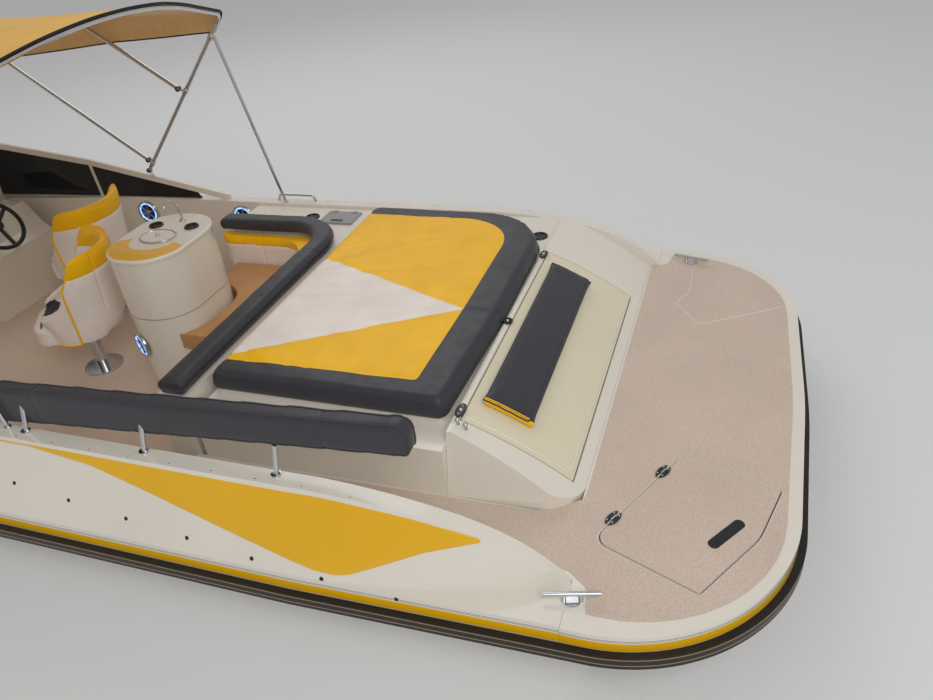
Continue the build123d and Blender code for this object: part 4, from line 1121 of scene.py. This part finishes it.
# Seat, about its swivel: half side, middle and heights of the insert in its pan
INSERT_HALF, INSERT_X, INSERT_LOW, INSERT_HIGH = 0.135, 0.075, 0.50, 0.60
# Seam under the shell's top, and turns from straight aft to the wings and to the ends of the top
TOP_SEAM_Z, WING_TURN, TOP_TURN = 0.86, 0.75, 1.4
# Piping of the shell's rim: first turn and sweep in degrees, steps, and inset
RIM_FROM, RIM_SWEEP, RIM_STEPS, RIM_INSET = 48, 264, 80, 0.012


class DAYBOAT_OT_upholstery(bpy.types.Operator):
    """Stuffs and sews the roll, the bolster, the cushions of transom, lounge and bow, and the two seats"""
    bl_idname = "day_boat.upholstery"
    bl_label = "Upholstery"

    def execute(self, context):
        self.roll()
        self.bolster()
        self.transom()
        self.lounge()
        self.bow()
        self.seats()
        return {"FINISHED"}

    def roll(self):
        item = stuffed("roll_cover", "coaming_roll", inset=0.004, cap=0.007)
        sewn(item, [level(ROLL_SEAM_Z), *(cross_seam(*seam) for seam in ROLL_SEAMS)], depth=0.004)
        painted(item, ["vinyl_slate"])
        upholstered(item, [], "root", "vinyl_charcoal", "coaming_roll")

    def bolster(self):
        item = stuffed("bolster_cover", "port_bolster", inset=0.003, cap=0.004)
        sewn(item, [cross_seam(0, x) for x in BOLSTER_SEAMS], depth=0.003)
        painted(item, ["vinyl_slate"])
        lines = [rounded([(x, y, z) for x, z in BOLSTER], BOLSTER_RADII)
                 for y in (BOLSTER_Y - BOLSTER_HALF, BOLSTER_Y + BOLSTER_HALF)]
        upholstered(item, welts(item, lines, "vinyl_slate"), "root", "vinyl_charcoal", "port_bolster")

    def transom(self):
        item = stuffed("transom_cushion_cover", "transom_cushion", voxel=0.009, inset=0.004, cap=0.008)
        sewn(item, [], fold=0.0008)
        painted(item, ["vinyl_slate", "vinyl_yellow"], lambda place, out: 1 if place.y > YELLOW_END_Y else 0)
        cushion = tree_of("transom_cushion")
        rim = evenly(rounded(flat(CUSHION_PLAN), 0.02), 0.015, close=True)
        dark = welts(item, [laid(cushion, rim)], "vinyl_slate", radius=0.0035)
        port = laid(cushion, [(0.258 + 0.19 * k / 10, 0.600) for k in range(11)])
        bright = welts(item, [port], "vinyl_yellow", radius=0.003, close=False)
        upholstered(item, dark + bright, "transom_lid", "vinyl_charcoal", "transom_cushion")

    def lounge(self):
        aft, side = LOUNGE_AFT_X + 0.15, LOUNGE_STBD_Y + 0.15
        corners = flat(((aft, 0.3), (aft, side), (LOUNGE_FWD_X + 0.1, side)))
        arc = segments(rounded(corners, (0, NOOK_R, 0), close=False), False)
        seat = stuffed("lounge_seat_cover", "lounge_cushion")
        sewn(seat, [lambda table: distances(table[:, :2], arc) + np.where(table[:, 2] > 0.5, 0.0, 1.0)],
             depth=0.006)
        painted(seat, ["vinyl_tan"])
        upholstered(seat, [], "root", "vinyl_tan", "lounge_cushion")
        back = stuffed("lounge_back_cover", "lounge_backrest")
        sewn(back, [level(BACK_SEAM_Z), *(cross_seam(*seam) for seam in BACK_SEAMS)], depth=0.005)
        painted(back, ["vinyl_white", "vinyl_yellow"], lambda place, out: 1 if place.z > BACK_SEAM_Z else 0)
        upholstered(back, [], "root", "vinyl_yellow", "lounge_backrest")

    def bow(self):
        item = stuffed("bow_cushion_covers", "bow_cushions", voxel=0.018, cap=0.014)
        sewn(item, [], fold=0.002)
        painted(item, ["vinyl_white"])
        lines = [rounded([(x, side * y, BOW_PAD_TOP) for x, y in BOW_PAD], 0.04) for side in (1, -1)]
        piping = welts(item, lines, "vinyl_yellow", radius=0.005)
        upholstered(item, piping, "root", "vinyl_white", "bow_cushions")

    def seats(self):
        (x, y), turn = SWIVELS["companion"]
        home = Matrix.Translation((x, y, 0)) @ Matrix.Rotation(math.radians(turn), 4, "Z")
        item = stuffed("seat_form", "companion_seat", turn=home.inverted())
        sewn(item, [self.pan_seam, self.shell_seam], depth=0.006)
        painted(item, ["vinyl_white", "vinyl_slate", "vinyl_yellow"], self.region)
        rim = self.rim_line(item)
        form = joined("seat_pattern", [item, *welts(item, [rim], "vinyl_yellow", radius=0.006, close=False)])
        for name, ((x, y), turn) in SWIVELS.items():
            mesh = form.data.copy()
            mesh.transform(Matrix.Translation((x, y, 0)) @ Matrix.Rotation(math.radians(turn), 4, "Z"))
            seat = link_object(bpy.data.objects.new(name + "_seat_cover", mesh))
            settle(seat, name + "_seat", "vinyl_white", name + "_seat")
        bpy.data.objects.remove(form)

    @staticmethod
    def pan_seam(table):
        """Seam round the insert of the pan."""
        x, y, z = table.T
        edge = np.maximum(np.abs(y) - INSERT_HALF, np.abs(x - INSERT_X) - INSERT_HALF)
        near = (z > INSERT_LOW) & (z < INSERT_HIGH) & (edge < 0.05)
        return np.abs(edge) + np.where(near, 0.0, 1.0)

    @staticmethod
    def shell_seam(table):
        """Upright seams that part the backrest from its wings, and a seam under its top."""
        x, y, z = table.T
        around = np.abs(np.arctan2(y, -x))
        upright = np.abs(around - WING_TURN) * 0.26 + np.where(z > INSERT_HIGH, 0.0, 1.0)
        top = np.abs(z - TOP_SEAM_Z) + np.where(around < TOP_TURN, 0.0, 1.0)
        return np.minimum(upright, top)

    @staticmethod
    def region(place, out):
        """Slot of a place on a seat: shell, dark inserts of pan and back, or its top."""
        around = abs(math.atan2(place.y, -place.x))
        pan = max(abs(place.y), abs(place.x - INSERT_X)) < INSERT_HALF and out.z > 0.3
        if INSERT_LOW < place.z < INSERT_HIGH and pan:
            return 1
        if place.z > TOP_SEAM_Z and around < TOP_TURN:
            return 2
        inner = out.x * place.x + out.y * place.y < 0
        return 1 if inner and INSERT_HIGH < place.z < TOP_SEAM_Z and around < WING_TURN else 0

    @staticmethod
    def rim_line(item):
        """Outer edge of the shell's rim, from its starboard tip round aft to its port tip."""
        tree = search_tree(item.data)
        line = []
        for k in range(RIM_STEPS + 1):
            turn = math.radians(RIM_FROM + RIM_SWEEP * k / RIM_STEPS)
            reach = SHELL_LOW_R
            for _ in range(4):
                place = Vector((reach * math.cos(turn), reach * math.sin(turn), 1.5))
                hit = tree.ray_cast(place, Vector((0, 0, -1)))[0]
                high = hit.z if hit else SWIVEL_Z
                share = (high - SWIVEL_Z) / (SHELL_TOP_Z - SWIVEL_Z)
                reach = SHELL_LOW_R + (SHELL_HIGH_R - SHELL_LOW_R) * share - RIM_INSET
            line.append(Vector((reach * math.cos(turn), reach * math.sin(turn), high)))
        return line


# Fittings
def laid(tree, line, lift=0.0):
    """Points of a plan line, dropped on to what lies below."""
    out = []
    for x, y in ((p[0], p[1]) for p in line):
        hit, up = tree.ray_cast(Vector((x, y, 3.0)), Vector((0, 0, -1)))[:2]
        if hit is None:
            raise RuntimeError("nothing lies below %.3f, %.3f" % (x, y))
        out.append(hit + up * lift)
    return out


def ring_of(long, wide, count=48):
    """Closed plan outline of an ellipse."""
    return [(long / 2 * math.cos(2 * math.pi * k / count), wide / 2 * math.sin(2 * math.pi * k / count))
            for k in range(count)]


def oblong(half_x, half_y, radius, middle=(0, 0), z=0.0, steps=10):
    """Plan outline of a rounded oblong about its middle."""
    corners = [(middle[0] + sx * half_x, middle[1] + sy * half_y)
               for sx, sy in ((-1, -1), (1, -1), (1, 1), (-1, 1))]
    return rounded(flat(corners, z), radius, steps=steps)


def button(name, radius, height, label, steps=20):
    """Low round head of a screw, plug or knob."""
    profile = [(0, height), (radius * 0.55, height * 0.9), (radius * 0.9, height * 0.5), (radius, 0), (0, 0)]
    return lathe(name, profile, label, steps)


def placed(item, place):
    item.matrix_world = Matrix.Translation(Vector(place)) @ item.matrix_world
    return item


def oval_hinge(name, long, wide, place, along):
    """Oval hinge with a bright knuckle and two screws; its black body is a painted dark reflection on
    polished steel.
    """
    thick = 0.006
    # Painted reflection: the black base and rim stand for polished steel mirroring a dark sky
    base = plate(name + "_base", [ring_of(long, wide)], thick, "plastic_black", edge=0.002)
    rim = flat(ring_of(long * 0.84, wide * 0.80), thick / 2)
    rim = tube(name + "_rim", rim, 0.0012, "plastic_black", close=True)
    knuckle = button(name + "_knuckle", wide * 0.24, 0.006, "stainless")
    screws = [placed(button("%s_screw_%d" % (name, sign), wide * 0.11, 0.003, "stainless"),
                     (sign * long * 0.30, 0, thick / 2)) for sign in (-1, 1)]
    item = joined(name, [base, rim, placed(knuckle, (0, 0, thick / 2)), *screws])
    return stand_on(item, Vector(place) + Vector((0, 0, thick / 2)), along=along)


BEAD_R, BEAD_LIFT = 0.0045, 0.001
# Bead on the transom lid: after and forward ends and half width; gutter line, hinges, latch and knobs
BEAD_PLAN, GUTTER_X = (0.066, 0.488, 0.722), 0.526
TRANSOM_HINGE, HINGE_LONG, HINGE_WIDE = (0.517, 0.700, 0.708), 0.088, 0.044
LATCH_PLACE, KNOB_PLACES = (0.521, 0.0, 0.7075), ((0.505, 0.775), (0.470, 0.783))
# Hinges of the ladder lid: size, places, height, direction of the axis, and half the gap of the leaves
LADDER_HINGE, LADDER_HINGE_Z = (0.086, 0.044), 0.4276
LADDER_HINGES = (("aft", (-0.288, 0.583)), ("fore", (-0.137, 0.882)))
LADDER_AXIS, LEAF_GAP = (0.4505, 0.8928, 0), 0.006


class DAYBOAT_OT_stern(bpy.types.Operator):
    """Fits the transom's bead, gutter line, hinges and latch, and the hinges of the ladder lid"""
    bl_idname = "day_boat.stern"
    bl_label = "Stern fittings"

    def execute(self, context):
        skin, trunk = tree_of("transom_lid"), tree_of("transom_trunk")
        inner, fore, port = BEAD_PLAN
        aft = laid(skin, [(inner, -port + 2 * port * k / 60) for k in range(61)], BEAD_LIFT)
        side = laid(skin, [(inner + (fore - inner) * k / 30, port) for k in range(31)], BEAD_LIFT)
        bead = tube("transom_bead", aft + side[1:], BEAD_R, "gelcoat_white")
        settle(bead, "transom_lid", "gelcoat_white")
        line = laid(trunk, [(GUTTER_X, -1.15 + 1.93 * k / 60) for k in range(61)], BEAD_LIFT)
        settle(tube("gutter_line", line, BEAD_R, "gelcoat_white"), "root", "gelcoat_white")
        x, y, z = TRANSOM_HINGE
        for name, sign in (("port", 1), ("starboard", -1)):
            hinge = oval_hinge("transom_hinge_" + name, HINGE_LONG, HINGE_WIDE, (x, sign * y, z), (0, 1, 0))
            settle(hinge, "root", "rubber_black")
        ring = [(0, 0.004), (0.016, 0.004), (0.020, 0.010), (0.025, 0.008), (0.027, 0), (0, 0)]
        latch = [lathe("latch_ring", ring, "plastic_black"),
                 placed(button("latch_knob", 0.010, 0.007, "stainless"), (0, 0, 0.004))]
        settle(placed(joined("transom_latch", latch), LATCH_PLACE), "root", "rubber_black")
        knob = [(0, 0.030), (0.008, 0.027), (0.011, 0.020), (0.008, 0.012), (0.005, 0.010), (0.005, 0.003),
                (0.009, 0.0), (0, 0)]
        knobs = [placed(lathe("knob", knob, "stainless", 20), place) for place in laid(trunk, KNOB_PLACES)]
        settle(joined("trunk_knobs", knobs), "root", "stainless")
        for name, (x, y) in LADDER_HINGES:
            self.ladder_hinge(name, Vector((x, y, LADDER_HINGE_Z)), *LADDER_HINGE)
        return {"FINISHED"}

    def ladder_hinge(self, name, place, long, wide):
        """Oval hinge whose two leaves part at a bright knuckle; one leaf turns with the lid. Its black leaves
        are a painted dark reflection on polished steel.
        """
        # Each leaf: side, thickness, middle height, piece and body
        for side, thick, middle, label, body in ((1, 0.006, 0.0, "ladder_leaf_", "ladder_lid"),
                                                 (-1, 0.009, -0.0015, "ladder_hinge_", "root")):
            outline = [p for p in ring_of(long, wide, 64) if p[1] * side > LEAF_GAP]
            # Painted reflection: the black leaf stands for polished steel mirroring a dark sky
            made = [placed(plate("leaf", [outline], thick, "plastic_black", edge=0.0015), (0, 0, middle))]
            made += [placed(button("screw", 0.004, 0.002, "stainless", 14),
                            (end * long * 0.26, side * 0.012, 0.003)) for end in (-1, 1)]
            if side < 0:
                made.append(tube("knuckle", [(-0.014, 0, 0.001), (0.014, 0, 0.001)], 0.0045, "stainless"))
            settle(stand_on(joined(label + name, made), place, along=LADDER_AXIS), body, "rubber_black")


def cup_holder(name, radius=0.047):
    """Drink holder with a rolled rim over a dark well."""
    rim, well = (lathe(name + part, [(radius * share, z) for share, z in profile], label)
                 for part, profile, label in (
        ("_rim", ((0.78, 0.001), (0.80, 0.007), (0.9, 0.010), (1, 0.007), (1.04, 0.0)), "plastic_black"),
        ("_well", ((0, 0.001), (0.5, 0.0012), (0.8, 0.002)), "rubber_black")))
    return joined(name, [rim, well])


def speaker(name, radius):
    """Round speaker with a bright ring, lit ring, cone and spokes, facing along Z."""
    ring = ((0.80, 0.004), (0.84, 0.016), (0.95, 0.018), (1, 0.010), (1, 0.0))
    body = lathe(name + "_ring", [(radius * share, z) for share, z in ring], "stainless")
    cone = ((0, 0.010), (0.20, 0.009), (0.26, 0.003), (0.70, 0.010), (0.82, 0.006))
    cone = lathe(name + "_cone", [(radius * share, z) for share, z in cone], "plastic_black")
    lit = flat(ring_of(radius * 1.52, radius * 1.52), 0.013)
    lit = tube(name + "_light", lit, 0.004, "led_blue", close=True)
    spokes = []
    for k in range(6):
        turn = math.radians(60 * k + 15)
        ends = [(radius * share * math.cos(turn), radius * share * math.sin(turn), 0.015)
                for share in (0.16, 0.84)]
        spokes.append(tube("%s_spoke_%d" % (name, k), ends, 0.004, "stainless"))
    cap = placed(button(name + "_cap", radius * 0.2, 0.008, "stainless"), (0, 0, 0.010))
    return joined(name, [body, cone, lit, cap, *spokes])


DECK_CUPS = ((2.150, -1.045), (0.600, -0.935))
SIDE_SPEAKERS = ((2.800, -1.198, 0.610), (3.620, -1.198, 0.610))
# Rows of screws and plugs: first station, step and count
SCREW_ROW, SCREW_Y = (0.75, 0.20, 13), 1.262
PLUG_ROW, PLUG_Z, PLUG_RISE = (0.55, 0.30, 8), 0.40, 0.17 / 2.1


class DAYBOAT_OT_deck(bpy.types.Operator):
    """Fits the drink holders, locker hinges, screws, side plugs, speakers and drain"""
    bl_idname = "day_boat.deck"
    bl_label = "Deck fittings"

    def execute(self, context):
        for k, (x, y) in enumerate(DECK_CUPS):
            settle(placed(cup_holder("deck_cup_%d" % k), (x, y, DECK_Z + 0.0005)), "root", "rubber_black")
        self.locker()
        self.screws()
        self.plugs()
        for k, place in enumerate(SIDE_SPEAKERS):
            item = stand_on(speaker("side_speaker_%d" % k, 0.085), place, up=(0, 1, 0))
            settle(item, "root", "rubber_black")
        drain = [plate("drain_flange", [ring_of(0.060, 0.040)], 0.005, "stainless", edge=0.0015),
                 placed(button("drain_hole", 0.010, 0.002, "rubber_black"), (0, 0, 0.0025))]
        hit, out = tree_of("hull").ray_cast(Vector((0.85, 3.0, 0.06)), Vector((0, -1, 0)))[:2]
        settle(stand_on(joined("hull_drain", drain), hit, up=out), "root", "stainless")
        return {"FINISHED"}

    def locker(self):
        low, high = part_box("deck_lid")
        mid = (Vector(low) + Vector(high)) / 2
        slot = plate("locker_slot", [oblong(0.045, 0.012, 0.0118)], 0.002, "plastic_black")
        settle(placed(slot, (mid.x, high[1] - 0.035, high[2] + 0.001)), "deck_lid", "rubber_black")
        for k, x in enumerate((low[0] + 0.045, high[0] - 0.045)):
            leaf = plate("locker_leaf", [oblong(0.016, 0.020, 0.005)], 0.002, "stainless", edge=0.0006)
            pin = tube("locker_pin", [(-0.017, 0, 0.002), (0.017, 0, 0.002)], 0.0035, "stainless")
            hinge = joined("locker_hinge_%d" % k, [leaf, pin])
            settle(placed(hinge, (x, low[1] + 0.010, high[2] + 0.002)), "deck_lid", "stainless")

    def screws(self):
        """Screws along the gunwale caps."""
        caps = tree_of("side_port", "side_starboard", "foredeck")
        heads = []
        first, step, count = SCREW_ROW
        for side in (1, -1):
            for k in range(count):
                start = Vector((first + step * k, side * SCREW_Y, 2.0))
                hit, up = caps.ray_cast(start, Vector((0, 0, -1)))[:2]
                if hit and up.z > 0.8:
                    heads.append(stand_on(button("screw", 0.0045, 0.0018, "stainless", 12), hit, up=up))
        settle(joined("cap_screws", heads), "root", "stainless")

    def plugs(self):
        """Small round plugs along the topsides."""
        first, step, count = PLUG_ROW
        for name, side in (("port", 1), ("starboard", -1)):
            skin = tree_of("side_" + name)
            heads = []
            for k in range(count):
                x = first + step * k
                z = PLUG_Z + PLUG_RISE * (x - first)
                hit, out = skin.ray_cast(Vector((x, side * 2.5, z)), Vector((0, -side, 0)))[:2]
                if hit:
                    heads.append(stand_on(button("plug", 0.009, 0.003, "plastic_black", 16), hit, up=out))
            settle(joined("side_plugs_" + name, heads), "root", "rubber_black")


BAR = Vector((2.530, -0.100, 1.000))
BAR_LONG, BAR_WIDE, BAR_RADIUS = 0.450, 0.600, 0.205
# Drink holders about the middle of the bar's top, and height of its speaker
BAR_CUPS, BAR_SPEAKER_Z = ((-0.120, -0.130), (0.115, -0.120)), 0.45


def bar_ring(out, z):
    """Plan outline of the wet bar at a height."""
    return oblong(BAR_LONG / 2 + out, BAR_WIDE / 2 + out, BAR_RADIUS + out, BAR, z, steps=16)


class DAYBOAT_OT_bar(bpy.types.Operator):
    """Fits the wet bar's yellow top rim, sink cover, drink holders, tap, seam and speaker"""
    bl_idname = "day_boat.bar"
    bl_label = "Wet bar fittings"

    def execute(self, context):
        seam = evenly(bar_ring(0.0008, 0.640), 0.02, close=True)
        settle(tube("bar_seam", seam, 0.0022, "gelcoat_grey", close=True), "root", "gelcoat_white")
        outer = [p for p in bar_ring(-0.006, 0) if p.y > BAR.y + 0.02]
        arc = [Vector((BAR.x + 0.14 * math.cos(t), BAR.y + 0.06 + 0.115 * math.sin(t), 0))
               for t in [math.pi * k / 16 for k in range(17)]]
        crescent = plate("bar_rim", [outer + arc[::-1]], 0.003, "gelcoat_yellow", edge=0.001)
        settle(placed(crescent, (0, 0, BAR.z + 0.0015)), "root", "gelcoat_yellow")
        cover = [plate("sink_cover", [ring_of(0.20, 0.15)], 0.008, "gelcoat_white", edge=0.003),
                 tube("sink_rim", flat(ring_of(0.212, 0.162), 0.001), 0.004, "stainless", close=True),
                 placed(button("sink_knob", 0.012, 0.010, "stainless"), (0, 0, 0.004))]
        sink = placed(joined("bar_sink", cover), (BAR.x, BAR.y + 0.015, BAR.z + 0.004))
        settle(sink, "root", "gelcoat_white")
        for k, (dx, dy) in enumerate(BAR_CUPS):
            cup = placed(cup_holder("bar_cup_%d" % k, 0.040), (BAR.x + dx, BAR.y + dy, BAR.z + 0.0005))
            settle(cup, "root", "rubber_black")
        neck = [(0, 0, 0), (0, 0, 0.09), (0.012, 0.02, 0.125), (0.02, 0.06, 0.135), (0.022, 0.09, 0.118),
                (0.022, 0.094, 0.10)]
        tap = joined("bar_tap", [button("tap_base", 0.020, 0.012, "stainless"),
                                 tube("tap_neck", neck, 0.007, "stainless", smooth_path=True)])
        settle(placed(tap, (BAR.x - 0.005, BAR.y - 0.205, BAR.z)), "root", "stainless")
        start = Vector((BAR.x + 0.5, BAR.y + 1.2, BAR_SPEAKER_Z))
        aim = Vector((BAR.x, BAR.y, BAR_SPEAKER_Z)) - start
        hit, out = tree_of("wet_bar").ray_cast(start, aim.normalized())[:2]
        settle(stand_on(speaker("bar_speaker", 0.075), hit + out * 0.001, up=out, along=(0, 0, 1)), "root",
               "rubber_black")
        return {"FINISHED"}


class DAYBOAT_OT_canopy_fittings(bpy.types.Operator):
    """Fits the knuckles and collars of the canopy's tubes"""
    bl_idname = "day_boat.canopy_fittings"
    bl_label = "Canopy fittings"

    def execute(self, context):
        knuckles = []
        half_profile = [(0.0155, 0.0145), (0.010, 0.0145), (0.010, 0.018), (0.008, 0.021), (0, 0.021)]
        profile = [(radius, -z) for radius, z in half_profile[::-1]] + half_profile
        for foot, half in ((FOOT, BOW_HALF_Y), (on_leg(FRONT_ALONG), BOW_HALF_Y),
                           (on_leg(MID_ALONG), BOW_HALF_Y - STANDOFF)):
            for side in (1, -1):
                knuckle = lathe("knuckle", profile, "stainless_dark", 24)
                knuckles.append(stand_on(knuckle, (foot.x, side * half, foot.z), up=(0, 1, 0)))
        settle(joined("canopy_knuckles", knuckles), "root", "stainless")
        collars = []
        leg = Vector((math.cos(MAIN_UP), 0, math.sin(MAIN_UP)))
        profile = [(0.0125, -0.022), (0.0165, -0.020), (0.0165, 0.020), (0.0125, 0.022)]
        for along in (FRONT_ALONG, MID_ALONG, 1.180):
            for side in (1, -1):
                place = FOOT + leg * along + Vector((0, side * BOW_HALF_Y, 0))
                collars.append(stand_on(lathe("collar", profile, "stainless", 24), place, up=leg))
        settle(joined("canopy_collars", collars), "root", "stainless")
        return {"FINISHED"}


class DAYBOAT_OT_finishes(bpy.types.Operator):
    """Gives the mouldings, tubes and machinery their finishes"""
    bl_idname = "day_boat.finishes"
    bl_label = "Finishes"

    def execute(self, context):
        table = {
            "gelcoat_striped": ("side_port", "side_starboard", "swim_platform", "foredeck"),
            "gelcoat_cream": ("transom_lid",),
            "gelcoat_grey": ("deck_lid",),
            "nonskid": ("cockpit_sole",),
            "vinyl_slate": ("port_bolster", "coaming_roll", "transom_cushion"),
            "vinyl_yellow": ("lounge_backrest",),
            "vinyl_tan": ("lounge_cushion",),
            "vinyl_white": ("companion_seat", "helm_seat", "bow_cushions"),
            "stainless": ("bolster_posts", "seat_pedestals", "bimini_main_bow", "bimini_front_bow",
                          "bimini_mid_bow", "bimini_struts", "cleats", "grab_rail"),
            "rail_rubber": ("rub_rail",),
            "rubber_black": ("steering_wheel",),
            "glass_smoked": ("windscreen_glass",),
            "drive_paint": ("drive_bracket", "drive_gimbal", "drive_leg"),
            "propeller_steel": ("propeller",),
            "engine_paint": ("engine",),
        }
        chosen = {node: label for label, names in table.items() for node in names}
        for name, item in NODES.items():
            item.data.materials.clear()
            item.data.materials.append(finish(chosen.get(name, "gelcoat_white")))
        return {"FINISHED"}


# Stage: half side of the floor, colour and strength of the room's light
FLOOR_HALF, SKY, SKY_STRENGTH = 40.0, (1.0, 0.985, 0.965, 1.0), 0.46
# Each lamp: place, size, power
LAMPS = (((-3.5, 6.0, 7.5), 5.0, 300.0), ((5.0, -6.5, 8.0), 6.0, 150.0))
# Camera: focal length and width of the photograph in pixels, its place, and pitch, yaw and roll
FOCAL_PX, PHOTO_PX, SENSOR_MM = 771, 933, 36.0
CAMERA_X, CAMERA_Y = -0.492, 2.988
PITCH, YAW, ROLL = math.radians(33.4), math.radians(22.58), math.radians(-7.0)


class DAYBOAT_OT_stage(bpy.types.Operator):
    """Sets the floor at the waterline, the soft lights and the camera"""
    bl_idname = "day_boat.stage"
    bl_label = "Stage"

    def execute(self, context):
        corners = [(-FLOOR_HALF, -FLOOR_HALF, 0), (FLOOR_HALF, -FLOOR_HALF, 0),
                   (FLOOR_HALF, FLOOR_HALF, 0), (-FLOOR_HALF, FLOOR_HALF, 0)]
        floor = mesh_object("stage_floor", corners, [(0, 1, 2, 3)], [], smooth=False)
        material, tree, shader = blank_material("stage_floor", Roughness=0.9)
        dress(tree, shader, Base_Color=mottled(tree, colours().floor, 0.004, 0.3))
        floor.data.materials.append(material)
        world = bpy.data.worlds.new("soft_room")
        world.use_nodes = True
        sky = world.node_tree.nodes["Background"].inputs
        sky["Color"].default_value, sky["Strength"].default_value = SKY, SKY_STRENGTH
        context.scene.world = world
        for place, wide, power in LAMPS:
            lamp = bpy.data.lights.new("soft_lamp", "AREA")
            lamp.size = wide
            lamp.energy = power
            item = link_object(bpy.data.objects.new("soft_lamp", lamp))
            item.location = place
            item.rotation_euler = (Vector((1.5, 0, 0.5)) - Vector(place)).to_track_quat("-Z", "Y").to_euler()
        self.camera(context)
        return {"FINISHED"}

    def camera(self, context):
        """Camera at the photograph's place: pitch down, yaw from the stern, and roll."""
        ahead = Vector((math.sin(YAW), -math.cos(YAW), 0))
        right = Vector((-math.cos(YAW), -math.sin(YAW), 0))
        up = Vector((0, 0, 1))
        look = ahead * math.cos(PITCH) - up * math.sin(PITCH)
        rise = ahead * math.sin(PITCH) + up * math.cos(PITCH)
        side = right * math.cos(ROLL) + rise * math.sin(ROLL)
        top = rise * math.cos(ROLL) - right * math.sin(ROLL)
        lens = bpy.data.cameras.new("photo_camera")
        lens.sensor_width = SENSOR_MM
        lens.lens = FOCAL_PX * SENSOR_MM / PHOTO_PX
        item = link_object(bpy.data.objects.new("photo_camera", lens))
        turn = Matrix((side, top, -look)).transposed().to_4x4()
        item.matrix_world = Matrix.Translation((CAMERA_X, CAMERA_Y, sizes().camera_height)) @ turn
        context.scene.camera = item
        context.scene.view_settings.view_transform = "Standard"


class DAYBOAT_PT_panel(bpy.types.Panel):
    """Lists the pieces that can be made"""
    bl_idname = "DAYBOAT_PT_panel"
    bl_label = "Day boat"
    bl_space_type = "VIEW_3D"
    bl_region_type = "UI"
    bl_category = "Day boat"

    def draw(self, context):
        for operator in OPERATORS:
            self.layout.operator(operator.bl_idname)
        for settings in (context.scene.day_boat_colours, context.scene.day_boat_sizes):
            box = self.layout.box()
            for key in settings.__annotations__:
                box.prop(settings, key)


OPERATORS = (
    DAYBOAT_OT_stage,
    DAYBOAT_OT_finishes,
    DAYBOAT_OT_sunpad,
    DAYBOAT_OT_topsides,
    DAYBOAT_OT_platform,
    DAYBOAT_OT_canopy,
    DAYBOAT_OT_upholstery,
    DAYBOAT_OT_stern,
    DAYBOAT_OT_deck,
    DAYBOAT_OT_bar,
    DAYBOAT_OT_canopy_fittings,
)
CLASSES = (BoatColours, BoatSizes, *OPERATORS, DAYBOAT_PT_panel)


def register():
    for made in CLASSES:
        bpy.utils.register_class(made)
    bpy.types.Scene.day_boat_colours = bpy.props.PointerProperty(type=BoatColours)
    bpy.types.Scene.day_boat_sizes = bpy.props.PointerProperty(type=BoatSizes)


def unregister():
    del bpy.types.Scene.day_boat_sizes
    del bpy.types.Scene.day_boat_colours
    for made in reversed(CLASSES):
        bpy.utils.unregister_class(made)


def main():
    register()
    for operator in OPERATORS:
        section, name = operator.bl_idname.split(".")
        getattr(getattr(bpy.ops, section), name)()


if __name__ == "__main__":
    main()
